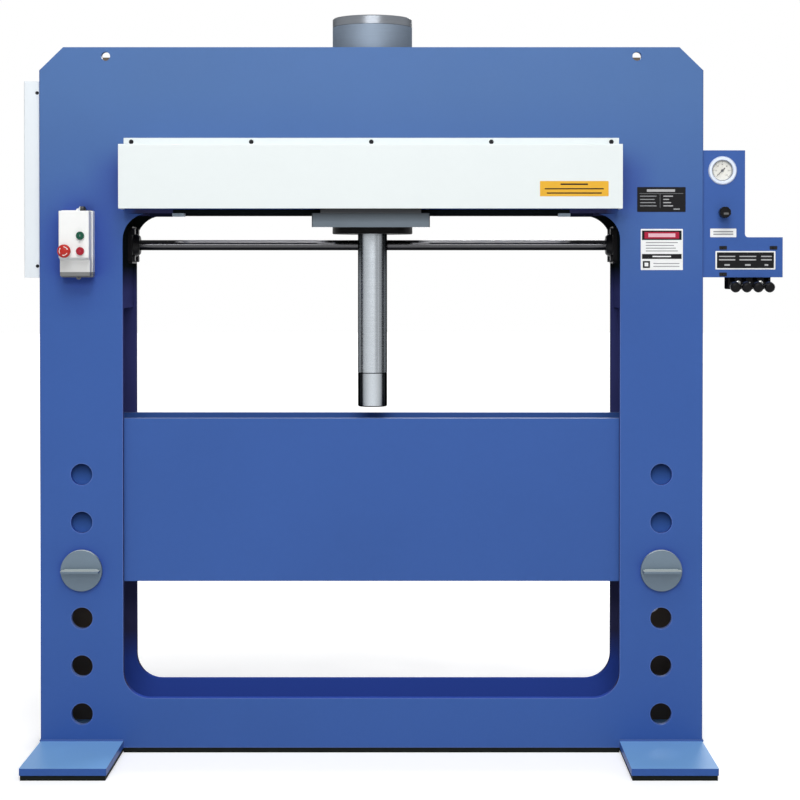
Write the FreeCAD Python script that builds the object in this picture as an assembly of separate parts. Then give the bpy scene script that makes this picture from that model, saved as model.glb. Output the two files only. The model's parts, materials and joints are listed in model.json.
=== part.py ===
import FreeCAD, Part
import math
import os

# A hydraulic workshop press with a wide opening.  Two profiled plates, front and rear, make the
# frame.  The pressing cylinder stands on a carriage that rolls along the top beam, the bed is a
# pair of plates on two pins, and a shaft across the opening winds the bed up and down.
#
# Millimetres.  X runs to the right along the beam, Y to the back and Z up.  The origin is on the
# floor, under the middle of the frame.  Everything stands at rest: bed on its pins, ram out.

V = FreeCAD.Vector
X = V(1, 0, 0)
Y = V(0, 1, 0)
Z = V(0, 0, 1)

# ------------------------------------------------------------------ driving dimensions: frame
frame_width = 2000.0
frame_top = 2130.0
frame_depth = 300.0
plate_thickness = 20.0
column_width = 250.0
opening_floor = 165.0
opening_ceiling = 1630.0
opening_radius = 80.0
corner_run = 72.0
corner_rise = 70.0

lifting_hole = 27.0
lifting_hole_from_edge = 200.0
lifting_hole_drop = 27.5

foot_length = 950.0
foot_thickness = 20.0
foot_pad_thickness = 15.0
foot_pad_inset = 3.0
foot_corner = 4.0

tie_thickness = 15.0
beam_tie_from_opening = 150.0
beam_tie_margin = 30.0
base_tie_under_bed = 6.0

# ------------------------------------------------------------------ pins and bed
pin_hole = 65.0
pin_hole_count = 6
pin_hole_pitch = 145.0
first_pin_hole = 117.0
pin_hole_in_use = 3
pin_play = 0.3
pin_head_diameter = 125.0
pin_head_thickness = 12.0
pin_end_proud = 15.0
pin_chamfer = 4.0
pin_head_chamfer = 1.0
pin_grip_length = 115.0
pin_grip_depth = 34.0
pin_grip_thickness = 6.0

bed_end_gap = 40.0
bed_height = 494.0
bed_below_pin = 36.0
bed_plate_thickness = 20.0
bed_side_play = 2.0
bed_corner = 12.0
bed_tie_spacing = 420.0
bed_tie_height = 150.0
bed_lug_width = 70.0
bed_lug_drop = 60.0
rope_hole = 16.0

# ------------------------------------------------------------------ carriage and cylinder
carriage_length = 352.0
carriage_thickness = 42.0
carriage_gap = 1.5
stop_length = 103.0
stop_from_corner = 1.5
stop_thickness = 9.5
stop_depth = 45.0
stop_gap = 0.5

barrel_outer_diameter = 245.0
barrel_inner_diameter = 180.0
barrel_above_frame = 75.0
cap_thickness = 27.0
cap_spigot = 20.0
cap_edge = 1.0
cap_spanner_hole = 12.0
cap_spanner_spacing = 170.0
port_hole = 18.0
gland_ring_diameter = 247.0
gland_ring_height = 16.5
gland_spigot = 30.0
gland_chamfer = 2.0
slide_fit = 0.05

ram_diameter = 90.0
ram_end_height = 104.0
ram_neck = 60.0
ram_stud = 40.0
ram_stud_length = 30.0
ram_stud_end_gap = 1.0
ram_chamfer = 3.0
piston_height = 60.0
piston_groove_height = 12.0
piston_groove_depth = 5.0
ram_above_bed = 28.0

rail_height = 30.0
rail_depth = 40.0
rail_end_inset = 48.0
rail_top = 1720.0
rail_radius = 2.0
roller_diameter = 60.0
roller_width = 28.0
roller_spacing = 220.0
roller_gap = 0.3
roller_from_frame = 10.0
roller_chamfer = 2.0
axle_diameter = 20.0
axle_head = 32.0
axle_head_thickness = 6.0
axle_head_chamfer = 1.0
axle_shoulder = 30.0
axle_end = 3.0
hanger_length = 300.0
hanger_thickness = 15.0
hanger_clear_of_rail = 15.0
hanger_above_axle = 38.0
hanger_corner = 30.0

# ------------------------------------------------------------------ covers
sheet = 2.0
cover_end_gap = 4.0
cover_bottom = 1641.0
cover_top = 1832.0
cover_proud = 110.0
cover_flange = 25.0
cover_bend = 4.0
cover_screw_count = 5
cover_screw_end = 23.0
cover_screw_above = 13.0
screw_diameter = 8.0
screw_head = 14.0
screw_head_height = 4.4
screw_length = 16.0
screw_end = 2.0
screw_play = 0.1
screw_dome = [(0, 1), (0.6, 1), (0.9, 0.55), (1, 0)]  # shares of the head's radius and height

side_cover_proud = 48.0
side_cover_width = 284.0
side_cover_bottom = 1436.0
side_cover_top = 2028.0
side_cover_screw_inset = 35.0
side_cover_screw_from_plate = 8.0
side_screw_diameter = 6.0
side_screw_head = 10.5
side_screw_head_height = 3.3
cover_angle_leg = 16.0
cover_angle_thickness = 3.0
window_width = 180.0
window_margin = 46.0
window_corner = 10.0

# ------------------------------------------------------------------ bed lifting shaft
lift_shaft_diameter = 32.0
lift_shaft_drop = 93.0
lift_shaft_behind = 72.0
lift_shaft_end = 105.0
lift_shaft_chamfer = 2.0
shaft_clearance = 2.0
bearing_flange = 114.0
bearing_flange_thickness = 13.0
bearing_bolt_spacing = 83.0
bearing_hub = 62.0
bearing_hub_taper = 8.0
bearing_hub_chamfer = 3.0
bearing_hub_proud = 31.0
bearing_corner = 12.0
bearing_set_back = 9.0
bearing_plate_below = 195.0
bearing_plate_above = 205.0
bolt_diameter = 12.0
bolt_head = 19.0
bolt_head_height = 8.0
bolt_end = 6.0
bolt_play = 0.2
drum_core = 80.0
drum_flange = 106.0
drum_flange_thickness = 6.0
drum_width = 60.0
drum_inset = 35.0

# ------------------------------------------------------------------ oil tank, pump and motor
shelf_thickness = 8.0
shelf_height = 1612.0
tank_length = 190.0
tank_width = 230.0
tank_height = 230.0
tank_wall = 3.0
tank_lid_thickness = 5.0
tank_corner = 8.0
pump_diameter = 80.0
pump_length = 120.0
pump_body_length = 72.0
pump_neck_diameter = 64.0
pump_neck_taper = 6.0
motor_diameter = 138.0
motor_length = 190.0
motor_foot = 160.0
motor_foot_thickness = 12.0
motor_rib_count = 16
motor_rib_depth = 5.0
motor_rib_thickness = 3.0
motor_rib_from_foot = 12.0
motor_hood = 45.0
motor_hood_slope = 12.0

# ------------------------------------------------------------------ starter box
starter_from_edge = 70.0
starter_bottom = 1437.0
starter_width = 96.0
starter_height = 201.0
starter_depth = 86.0
starter_base_depth = 34.0
starter_wall = 3.0
starter_lid_inset = 3.0
starter_step_height = 55.0
starter_step_depth = 20.0
starter_step_slope = 6.5
starter_corner = 5.0
starter_lug = 14.0
starter_lug_thickness = 5.0
starter_lug_hole = 4.6
starter_gland = 22.0
starter_gland_height = 12.0
starter_gland_nut = 7.0
starter_gland_top = 16.0
button_diameter = 24.0
button_proud = 9.0
button_stem = 16.0
button_travel = 4.0
button_end = 3.0
button_rim = 1.0
button_column_pitch = 46.0
button_row_pitch = 46.0
button_from_right = 28.0
stop_button_height = 78.0
mushroom_diameter = 40.0
mushroom_proud = 26.0
mushroom_cap = 13.0
mushroom_dome = [(0, 0), (0.45, 0.07), (0.8, 0.3), (1, 0.7), (0.9, 1)]  # shares of radius and cap

# ------------------------------------------------------------------ control panel
panel_sheet = 3.0
panel_back_from_face = 5.0
panel_depth = 72.0
panel_bottom = 1437.0
panel_step = 1558.0
panel_top = 1820.0
panel_upper_width = 127.0
panel_lower_width = 241.0
panel_inner_radius = 10.0

gauge_across = 59.0
gauge_height = 1759.0
gauge_flange = 86.0
gauge_flange_thickness = 5.0
gauge_rim_edge = 1.5
gauge_rim_run = 3.0
gauge_lip_run = 2.0
gauge_dial_diameter = 63.5
gauge_cup_wall = 3.0
gauge_cup_depth = 34.0
gauge_cup_floor = 8.0
gauge_dial_seat = 4.0
gauge_dial_depth = 9.0
gauge_dial_thickness = 1.5
gauge_glass_thickness = 2.0
gauge_glass_set_back = 2.0
needle_length = 23.0
needle_tail = 11.0
needle_thickness = 1.0
needle_tip = 0.8
needle_waist = 2.2
needle_tail_width = 3.4
needle_above_dial = 1.5
needle_hub = 8.0
needle_hub_proud = 0.5
needle_spindle = 2.4
needle_spindle_end = 6.0
needle_zero_angle = 135.0

knob_across = 61.0
knob_height = 1632.0
knob_diameter = 34.0
knob_proud = 46.0
knob_grip = 26.0
knob_collar = 26.0
knob_flute_count = 8
knob_flute = 5.0
knob_chamfer = 2.0
knob_neck = 4.0
knob_spindle = 10.0
knob_spindle_end = 30.0
relief_valve_diameter = 30.0
relief_valve_length = 50.0
relief_valve_body = 25.0
relief_valve_taper = 2.5
relief_valve_neck = 22.5
relief_valve_bore_end = 35.0

valve_from_frame = 52.0
valve_width = 170.0
valve_top = 1535.0
valve_body_depth = 70.0
valve_corner = 4.0
lever_block_from_frame = 77.0
lever_block_width = 128.0
lever_block_drop = 36.0
lever_count = 4
lever_pitch = 34.0
lever_slot = 14.0
lever_slot_depth = 40.0
lever_hub = 22.0
lever_hub_play = 0.5
lever_pivot = 8.0
lever_pivot_drop = 18.0
lever_pivot_back = 24.0
lever_rod = 8.0
lever_length = 78.0
lever_droop = 8.0
lever_knob_diameter = 31.0
lever_knob_length = 30.0
# The knob's outline, as shares of its radius and length.
lever_knob_shape = [(0, -0.13), (0.5, -0.13), (1, 0.17), (1, 0.77), (0.85, 0.93), (0.55, 1), (0, 1)]
panel_slot_length = 22.0
panel_slot_height = 9.0

past = 1.0  # how far a cutting body runs past the face that it opens

# ------------------------------------------------------------------ worked out from them
half_width = frame_width / 2
half_opening = half_width - column_width
opening_width = 2 * half_opening
half_depth = frame_depth / 2
inside = half_depth - plate_thickness
column_middle = (half_width + half_opening) / 2
foot_top = foot_pad_thickness + foot_thickness
base_tie_pitch = opening_width / 3
base_tie_top = first_pin_hole - bed_below_pin - base_tie_under_bed
column_inside = half_width - plate_thickness
lifting_hole_place = half_width - lifting_hole_from_edge
beam_tie_place = half_opening - beam_tie_from_opening
cover_length = opening_width - 2 * cover_end_gap
rail_length = cover_length - 2 * rail_end_inset
bearing_face = half_opening + bearing_set_back
bearing_plate_back = bearing_face + tie_thickness
panel_face = -half_depth + panel_back_from_face


def pin_hole_height(number):
    return first_pin_hole + number * pin_hole_pitch


pin_height = pin_hole_height(pin_hole_in_use)
pin_diameter = pin_hole - 2 * pin_play
bed_bottom = pin_height - bed_below_pin
bed_top = bed_bottom + bed_height
bed_face = inside - bed_side_play
bed_length = 2 * (column_inside - bed_end_gap)
bed_inside = bed_face - bed_plate_thickness
drum_middle = half_opening + drum_inset + drum_width / 2
stop_inner = half_opening - opening_radius - stop_from_corner - stop_length
carriage_top = opening_ceiling - carriage_gap
carriage_bottom = carriage_top - carriage_thickness
gland_bottom = carriage_bottom - gland_ring_height
gland_top = carriage_bottom + gland_spigot
barrel_top = frame_top + barrel_above_frame
ram_tip = bed_top + ram_above_bed
ram_joint = ram_tip + ram_end_height
axle_height = rail_top + roller_gap + roller_diameter / 2
hanger_back = half_depth + rail_depth + hanger_clear_of_rail + hanger_thickness
roller_middle = half_depth + roller_from_frame + roller_width / 2
lift_shaft_height = opening_ceiling - lift_shaft_drop
tank_middle = -(column_inside + bearing_plate_back) / 2
shelf_top = shelf_height + shelf_thickness
tank_top = shelf_top + tank_height
lid_top = tank_top + tank_lid_thickness
starter_left = -half_width + starter_from_edge
starter_right = starter_left + starter_width
starter_face = -half_depth - starter_depth
starter_split = -half_depth - starter_base_depth
gauge_place = V(half_width + gauge_across, panel_face, gauge_height)
knob_place = V(half_width + knob_across, panel_face, knob_height)
valve_left = half_width + valve_from_frame
lever_block_left = half_width + lever_block_from_frame
lever_block_bottom = panel_bottom - lever_block_drop
lever_pivot_height = panel_bottom - lever_pivot_drop
valve_face = panel_face + panel_sheet
lever_pivot_y = valve_face + lever_pivot_back


# ------------------------------------------------------------------ small tools
def block(low, high):
    """A box from its lowest to its highest corner."""
    return Part.makeBox(high[0] - low[0], high[1] - low[1], high[2] - low[2], V(*low))


def round_bar(diameter, start, along, length):
    """A cylinder from start, running along a direction."""
    return Part.makeCylinder(diameter / 2, length, V(*start), along)


def profile(points, along):
    """A flat outline given by its corners, extruded along a vector."""
    corners = [V(*point) for point in points]
    return Part.Face(Part.makePolygon(corners + corners[:1])).extrude(along)


def turned(outline, place, along):
    """Corners (radius, distance) turned about an axis that starts at place."""
    corners = [V(radius, 0, distance) for radius, distance in outline]
    half = Part.Face(Part.makePolygon(corners + corners[:1]))
    body = half.revolve(V(0, 0, 0), Z, 360)
    return moved(body, place, along)


def moved(body, place, along):
    """Turns a body made along Z to lie along a direction and puts its start at place."""
    body.Placement = FreeCAD.Placement(place, FreeCAD.Rotation(Z, along))
    return body


def edges_along(body, direction):
    """The straight edges of a body that run along a direction."""
    straight = [edge for edge in body.Edges if isinstance(edge.Curve, Part.Line)]
    return [edge for edge in straight if abs(edge.Curve.Direction.dot(direction)) > 0.999]


def rounded_block(low, high, radius, direction):
    """A box whose four edges along one direction are rounded."""
    body = block(low, high)
    return body.makeFillet(radius, edges_along(body, direction))


def edges_at(body, direction, place, reach=0.5):
    """The edges along a direction whose middle lies at a place, seen along that direction."""
    found = []
    for edge in edges_along(body, direction):
        offset = edge.CenterOfMass - place
        offset = offset - direction * offset.dot(direction)
        if offset.Length < reach:
            found.append(edge)
    return found


def mirrored(body, normal):
    return body.mirror(V(0, 0, 0), normal)


def one_solid(body):
    """A cleaned body of a single solid."""
    body = body.removeSplitter()
    if len(body.Solids) != 1:
        raise ValueError("a piece came out as %d solids" % len(body.Solids))
    return body.Solids[0]


def group(bodies):
    """Like pieces that share one node, each its own solid."""
    return Part.makeCompound([one_solid(body) for body in bodies])


# ------------------------------------------------------------------ frame
def cover_screw_places():
    """Where the screws of a long cover sit along the beam."""
    reach = cover_length / 2 - cover_screw_end
    step = 2 * reach / (cover_screw_count - 1)
    return [-reach + step * number for number in range(cover_screw_count)]


def front_plate():
    """The O-shaped plate: slanted top corners, rounded opening, pin, lifting and screw holes."""
    outline = [
        (-half_width, foot_top),
        (-half_width, frame_top - corner_rise),
        (-half_width + corner_run, frame_top),
        (half_width - corner_run, frame_top),
        (half_width, frame_top - corner_rise),
        (half_width, foot_top),
        (half_opening, foot_top),
        (half_opening, foot_pad_thickness),
        (-half_opening, foot_pad_thickness),
        (-half_opening, foot_top),
    ]
    body = profile([(x, -half_depth, z) for x, z in outline], Y * plate_thickness)
    opening = rounded_block(
        (-half_opening, -half_depth - past, opening_floor),
        (half_opening, -inside + past, opening_ceiling),
        opening_radius, Y)
    cuts = [opening]
    for side in (-1, 1):
        for number in range(pin_hole_count):
            start = (side * column_middle, -half_depth, pin_hole_height(number))
            cuts.append(round_bar(pin_hole, start, Y, plate_thickness))
        start = (side * lifting_hole_place, -half_depth, frame_top - lifting_hole_drop)
        cuts.append(round_bar(lifting_hole, start, Y, plate_thickness))
    for place in cover_screw_places():
        start = (place, -half_depth, cover_top + cover_screw_above)
        cuts.append(round_bar(screw_diameter + 2 * screw_play, start, Y, screw_length))
    return one_solid(body.cut(cuts))


def side_plate_outline():
    """Section of the right side plate: upright, then bent in along the slanted corner."""
    slant = math.hypot(corner_run, corner_rise)
    inner_drop = plate_thickness * (slant - corner_run) / corner_rise
    inner_shift = plate_thickness * slant / corner_rise
    return [
        (half_width, foot_top),
        (half_width, frame_top - corner_rise),
        (half_width - corner_run, frame_top),
        (half_width - corner_run - inner_shift, frame_top),
        (column_inside, frame_top - corner_rise - inner_drop),
        (column_inside, foot_top),
    ]


def side_plate(side):
    points = [(side * x, -inside, z) for x, z in side_plate_outline()]
    return one_solid(profile(points, Y * 2 * inside))


def left_side_plate():
    """The left side plate has a window to the motor, and angles that the cover screws to."""
    body = side_plate(-1)
    window = rounded_block(
        (-half_width - past, -window_width / 2, side_cover_bottom + window_margin),
        (-column_inside + past, window_width / 2, side_cover_top - window_margin),
        window_corner, X)
    body = body.cut(window)
    for side in (-1, 1):
        body = body.fuse(cover_angle(side))
    holes = [cover_screw_hole(side, height) for side in (-1, 1) for height in side_screw_heights()]
    return one_solid(body.cut(holes))


def side_screw_heights():
    low = side_cover_bottom + side_cover_screw_inset
    high = side_cover_top - side_cover_screw_inset
    return (low, high)


def cover_angle(side):
    """A small angle on the side plate, just inside the side cover's front or rear wall."""
    outer = side * (side_cover_width / 2 - sheet)
    inner = outer - side * cover_angle_thickness
    foot = outer - side * cover_angle_leg
    leg = -half_width - cover_angle_leg
    low = side_cover_bottom + 2 * sheet
    section = [
        (-half_width, outer, low),
        (leg, outer, low),
        (leg, inner, low),
        (-half_width - cover_angle_thickness, inner, low),
        (-half_width - cover_angle_thickness, foot, low),
        (-half_width, foot, low),
    ]
    return profile(section, Z * (side_cover_top - side_cover_bottom - 4 * sheet))


def cover_screw_hole(side, height):
    """The hole for one side cover screw, through the cover's wall and the angle behind it."""
    start = (-half_width - side_cover_screw_from_plate, side * side_cover_width / 2, height)
    return round_bar(side_screw_diameter + 2 * screw_play, start, Y * -side, screw_length)


def tie_plate(middle, low, high):
    """An upright plate between the front and rear plates."""
    half = tie_thickness / 2
    return block((middle - half, -inside, low), (middle + half, inside, high))


def frame_ties():
    """Two ties in the beam, three low ones in the base, clear of the bed, and the tank's shelf."""
    low = opening_ceiling + beam_tie_margin
    high = frame_top - beam_tie_margin
    ties = [tie_plate(side * beam_tie_place, low, high) for side in (-1, 1)]
    for step in (-1, 0, 1):
        ties.append(tie_plate(step * base_tie_pitch, foot_pad_thickness, base_tie_top))
    ties.append(tank_shelf())
    return group(ties)


def bearing_plate(side):
    """The plate between front and rear plate that closes the column behind a shaft bearing."""
    low = min(side * bearing_face, side * bearing_plate_back)
    body = block(
        (low, -inside, lift_shaft_height - bearing_plate_below),
        (low + tie_thickness, inside, lift_shaft_height + bearing_plate_above))
    start = (low, lift_shaft_behind, lift_shaft_height)
    cuts = [round_bar(lift_shaft_diameter + 2 * shaft_clearance, start, X, tie_thickness)]
    for y, z in bolt_places():
        cuts.append(round_bar(bolt_diameter + 2 * bolt_play, (low, y, z), X, tie_thickness))
    return body.cut(cuts)


def foot(side):
    low = min(side * half_width, side * half_opening)
    return rounded_block(
        (low, -foot_length / 2, foot_pad_thickness),
        (low + column_width, foot_length / 2, foot_top),
        foot_corner, Z)


def foot_pad(side):
    low = min(side * half_width, side * half_opening) + foot_pad_inset
    reach = foot_length / 2 - foot_pad_inset
    return block((low, -reach, 0), (low + column_width - 2 * foot_pad_inset, reach, foot_pad_thickness))


def base_strip():
    """The black strip under the base beam, from foot to foot."""
    return block((-half_opening, -half_depth, 0), (half_opening, half_depth, foot_pad_thickness))


def carriage_rail():
    """The front rail: a flat bar on the frame's face, under the cover."""
    return rounded_block(
        (-rail_length / 2, -half_depth - rail_depth, rail_top - rail_height),
        (rail_length / 2, -half_depth, rail_top),
        rail_radius, X)


def carriage_stop(side):
    """A plate under the beam's front edge that the carriage runs up against."""
    low = min(side * stop_inner, side * (stop_inner + stop_length))
    return block(
        (low, -half_depth, opening_ceiling - stop_thickness),
        (low + stop_length, -half_depth + stop_depth, opening_ceiling))


# ------------------------------------------------------------------ covers and their screws
def front_cover():
    """A folded sheet: flange on the frame's face, top, and front, closed at both ends."""
    face = -half_depth
    front = face - cover_proud
    section = [
        (face, cover_top + cover_flange),
        (face - sheet, cover_top + cover_flange),
        (face - sheet, cover_top),
        (front, cover_top),
        (front, cover_bottom),
        (front + sheet, cover_bottom),
        (front + sheet, cover_top - sheet),
        (face, cover_top - sheet),
    ]
    half = cover_length / 2
    body = profile([(-half, y, z) for y, z in section], X * cover_length)
    outer = edges_at(body, X, V(0, front, cover_top))
    body = body.makeFillet(cover_bend, outer)
    inner = edges_at(body, X, V(0, front + sheet, cover_top - sheet))
    body = body.makeFillet(cover_bend - sheet, inner)
    for side in (-1, 1):
        low = min(side * half, side * (half - sheet))
        end = block((low, front + sheet / 2, cover_bottom), (low + sheet, face, cover_top - sheet / 2))
        body = body.fuse(end)
    for place in cover_screw_places():
        start = (place, face - sheet, cover_top + cover_screw_above)
        body = body.cut(round_bar(screw_diameter + 2 * screw_play, start, Y, sheet))
    return one_solid(body)


def button_screw(place, along, diameter, head, height, length):
    """A button-head screw; along points from the head into the piece it holds."""
    shank = diameter / 2
    outline = [(head / 2 * share, -height * rise) for share, rise in screw_dome]
    outline += [(shank, 0), (shank, length), (0, length)]
    return turned(outline, place, along)


def cover_screws():
    screws = []
    for side in (-1, 1):
        for place in cover_screw_places():
            seat = V(place, side * (half_depth + sheet), cover_top + cover_screw_above)
            screws.append(button_screw(
                seat, Y * -side, screw_diameter, screw_head, screw_head_height, screw_length))
    return group(screws)


def side_cover():
    """A sheet tray on the left side plate, open towards the column."""
    back = side_cover_width / 2
    body = rounded_block(
        (-half_width - side_cover_proud, -back, side_cover_bottom),
        (-half_width, back, side_cover_top),
        cover_bend, Z)
    hollow = block(
        (-half_width - side_cover_proud + sheet, -back + sheet, side_cover_bottom + sheet),
        (-half_width, back - sheet, side_cover_top - sheet))
    body = body.cut(hollow)
    holes = [cover_screw_hole(side, height) for side in (-1, 1) for height in side_screw_heights()]
    return one_solid(body.cut(holes))


def side_cover_screws():
    length = sheet + cover_angle_thickness + screw_end
    screws = []
    for side in (-1, 1):
        for height in side_screw_heights():
            seat = V(-half_width - side_cover_screw_from_plate, side * side_cover_width / 2, height)
            screws.append(button_screw(
                seat, Y * -side, side_screw_diameter, side_screw_head, side_screw_head_height, length))
    return group(screws)


# ------------------------------------------------------------------ bed lifting shaft
def bolt_places():
    """The four bolt places of a flange bearing, as (y, z)."""
    half = bearing_bolt_spacing / 2
    return [(lift_shaft_behind + a * half, lift_shaft_height + b * half)
            for a in (-1, 1) for b in (-1, 1)]


def flange_bearing(side):
    """A square cast flange with a tapering hub, bored for the shaft."""
    face = side * bearing_face
    low = min(face, face - side * bearing_flange_thickness)
    half = bearing_flange / 2
    hub_rim = bearing_hub / 2
    hub_foot = hub_rim + bearing_hub_taper
    flange = rounded_block(
        (low, lift_shaft_behind - half, lift_shaft_height - half),
        (low + bearing_flange_thickness, lift_shaft_behind + half, lift_shaft_height + half),
        bearing_corner, X)
    hub = turned(
        [(0, 0), (hub_foot, 0), (hub_foot, bearing_flange_thickness),
         (hub_rim, bearing_hub_proud - bearing_hub_chamfer),
         (hub_rim - bearing_hub_chamfer, bearing_hub_proud), (0, bearing_hub_proud)],
        V(face, lift_shaft_behind, lift_shaft_height), X * -side)
    body = flange.fuse(hub)
    start = (face, lift_shaft_behind, lift_shaft_height)
    cuts = [round_bar(lift_shaft_diameter + 2 * slide_fit, start, X * -side, bearing_hub_proud)]
    for y, z in bolt_places():
        cuts.append(round_bar(
            bolt_diameter + 2 * bolt_play, (face, y, z), X * -side, bearing_flange_thickness))
    return body.cut(cuts)


def hex_bolt(place, along):
    """A hexagon-head bolt; along points from the head into the piece it holds."""
    corner = bolt_head / math.sqrt(3)
    ring = [V(corner * math.cos(math.radians(60 * turn)), corner * math.sin(math.radians(60 * turn)), 0)
            for turn in range(6)]
    head = Part.Face(Part.makePolygon(ring + ring[:1])).extrude(Z * -bolt_head_height)
    length = bearing_flange_thickness + tie_thickness + bolt_end
    shank = Part.makeCylinder(bolt_diameter / 2, length)
    return moved(head.fuse(shank), place, along)


def bearing_bolts():
    bolts = []
    for side in (-1, 1):
        for y, z in bolt_places():
            seat = V(side * (bearing_face - bearing_flange_thickness), y, z)
            bolts.append(hex_bolt(seat, X * side))
    return group(bolts)


def lift_shaft():
    reach = half_opening + lift_shaft_end
    body = round_bar(lift_shaft_diameter, (-reach, lift_shaft_behind, lift_shaft_height), X, 2 * reach)
    ends = [edge for edge in body.Edges if isinstance(edge.Curve, Part.Circle)]
    return one_solid(body.makeChamfer(lift_shaft_chamfer, ends))


def rope_drum(side):
    """A turned drum with two flanges on an end of the shaft, inside the column."""
    bore = lift_shaft_diameter / 2 + slide_fit
    core = drum_core / 2
    rim = drum_flange / 2
    edge = drum_flange_thickness
    outline = [
        (bore, 0), (rim, 0), (rim, edge), (core, edge),
        (core, drum_width - edge), (rim, drum_width - edge), (rim, drum_width), (bore, drum_width),
    ]
    start = V(side * (half_opening + drum_inset), lift_shaft_behind, lift_shaft_height)
    return turned(outline, start, X * side)


# ------------------------------------------------------------------ oil tank, pump and motor
def tank_shelf():
    return block(
        (-column_inside, -inside, shelf_height),
        (-bearing_plate_back, inside, shelf_top))


def oil_tank():
    """An open sheet tank on the shelf, closed by its lid."""
    low = tank_middle - tank_length / 2
    high = tank_middle + tank_length / 2
    half = tank_width / 2
    body = rounded_block((low, -half, shelf_top), (high, half, tank_top), tank_corner, Z)
    hollow = rounded_block(
        (low + tank_wall, -half + tank_wall, shelf_top + tank_wall),
        (high - tank_wall, half - tank_wall, tank_top),
        tank_corner - tank_wall, Z)
    return one_solid(body.cut(hollow))


def tank_lid():
    half = tank_width / 2 + tank_wall
    reach = tank_length / 2 + tank_wall
    body = block(
        (tank_middle - reach, -half, tank_top),
        (tank_middle + reach, half, lid_top))
    return one_solid(body)


def pump():
    """The gear pump hangs from the lid, inside the tank."""
    radius = pump_diameter / 2
    neck = pump_neck_diameter / 2
    outline = [
        (0, 0), (radius, 0), (radius, pump_body_length), (neck, pump_body_length + pump_neck_taper),
        (neck, pump_length), (0, pump_length),
    ]
    return one_solid(turned(outline, V(tank_middle, 0, tank_top), Z * -1))


def pump_motor():
    """An upright ribbed motor on a square foot."""
    half = motor_foot / 2
    foot_plate = block(
        (tank_middle - half, -half, lid_top),
        (tank_middle + half, half, lid_top + motor_foot_thickness))
    radius = motor_diameter / 2
    root = radius - motor_rib_depth
    base = lid_top + motor_foot_thickness
    body = turned(
        [(0, 0), (root, 0), (root, motor_length - motor_hood + motor_hood_slope),
         (root - motor_hood_slope, motor_length), (0, motor_length)],
        V(tank_middle, 0, base), Z)
    body = body.fuse(foot_plate)
    half_rib = motor_rib_thickness / 2
    rib = block(
        (root - motor_rib_thickness, -half_rib, motor_rib_from_foot),
        (radius, half_rib, motor_length - motor_hood))
    for number in range(motor_rib_count):
        turn = 360.0 * number / motor_rib_count
        copy = rib.copy()
        copy.rotate(V(0, 0, 0), Z, turn)
        copy.translate(V(tank_middle, 0, base))
        body = body.fuse(copy)
    return one_solid(body)


# ------------------------------------------------------------------ starter box
def starter_base():
    """The back half of the starter box, with its two fixing lugs and the cable gland's boss."""
    top = starter_bottom + starter_height
    middle = (starter_left + starter_right) / 2
    body = rounded_block(
        (starter_left, starter_split, starter_bottom),
        (starter_right, -half_depth, top), starter_corner, Y)
    hollow = rounded_block(
        (starter_left + starter_wall, starter_split, starter_bottom + starter_wall),
        (starter_right - starter_wall, -half_depth - starter_wall, top - starter_wall),
        starter_corner - starter_wall, Y)
    body = body.cut(hollow)
    for height in (starter_bottom, top):
        lug = round_bar(
            starter_lug, (middle, -half_depth - starter_lug_thickness, height), Y, starter_lug_thickness)
        hole = round_bar(
            starter_lug_hole, (middle, -half_depth - starter_lug_thickness, height), Y,
            starter_lug_thickness)
        outside = block(
            (middle - starter_lug, -half_depth - starter_lug_thickness, height),
            (middle + starter_lug, -half_depth, height + starter_lug))
        if height == starter_bottom:
            outside.translate(Z * -starter_lug)
        body = body.fuse(lug.common(outside)).cut(hole.common(outside))
    gland_y = (starter_split - half_depth) / 2
    gland = turned(
        [(0, 0), (starter_gland / 2, 0), (starter_gland / 2, starter_gland_nut),
         (starter_gland_top / 2, starter_gland_height), (0, starter_gland_height)],
        V(middle + starter_lug, gland_y, top), Z)
    return one_solid(body.fuse(gland))


def starter_lid():
    """The front half: a moulded lid whose lower part steps back, with holes for the buttons."""
    low = starter_bottom + starter_lid_inset
    top = starter_bottom + starter_height - starter_lid_inset
    step = low + starter_step_height
    step_face = starter_face + starter_step_depth

    def shell(inset):
        side = [
            (starter_split, low + inset),
            (step_face + inset, low + inset),
            (step_face + inset, step + inset - starter_step_slope),
            (starter_face + inset, step + inset),
            (starter_face + inset, top - inset),
            (starter_split, top - inset),
        ]
        left = starter_left + starter_lid_inset + inset
        width = starter_width - 2 * (starter_lid_inset + inset)
        return profile([(left, y, z) for y, z in side], X * width)

    body = shell(0)
    soft = [edge for edge in body.Edges if edge.CenterOfMass.y < starter_split - 1]
    body = body.makeFillet(starter_wall, soft)
    body = body.cut(shell(starter_wall))
    cuts = [round_bar(button_stem + 2 * screw_play, (x, starter_face, z), Y, starter_wall)
            for x, z in button_places()]
    return one_solid(body.cut(cuts))


def button_places():
    """Start, stop and emergency stop on the starter's lid, as (x, z)."""
    right = starter_right - button_from_right
    low = starter_bottom + stop_button_height
    return [(right, low + button_row_pitch), (right, low), (right - button_column_pitch, low)]


def push_button(number):
    """A flat button with a rounded rim and its stem through the lid."""
    x, z = button_places()[number]
    radius = button_diameter / 2
    stem = button_stem / 2
    cap = button_proud - button_travel - stop_gap
    end = button_proud + starter_wall + button_end
    outline = [
        (0, 0), (radius - button_rim, 0), (radius, button_rim), (radius, cap), (stem, cap),
        (stem, end), (0, end),
    ]
    return one_solid(turned(outline, V(x, starter_face - button_proud, z), Y))


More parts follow.
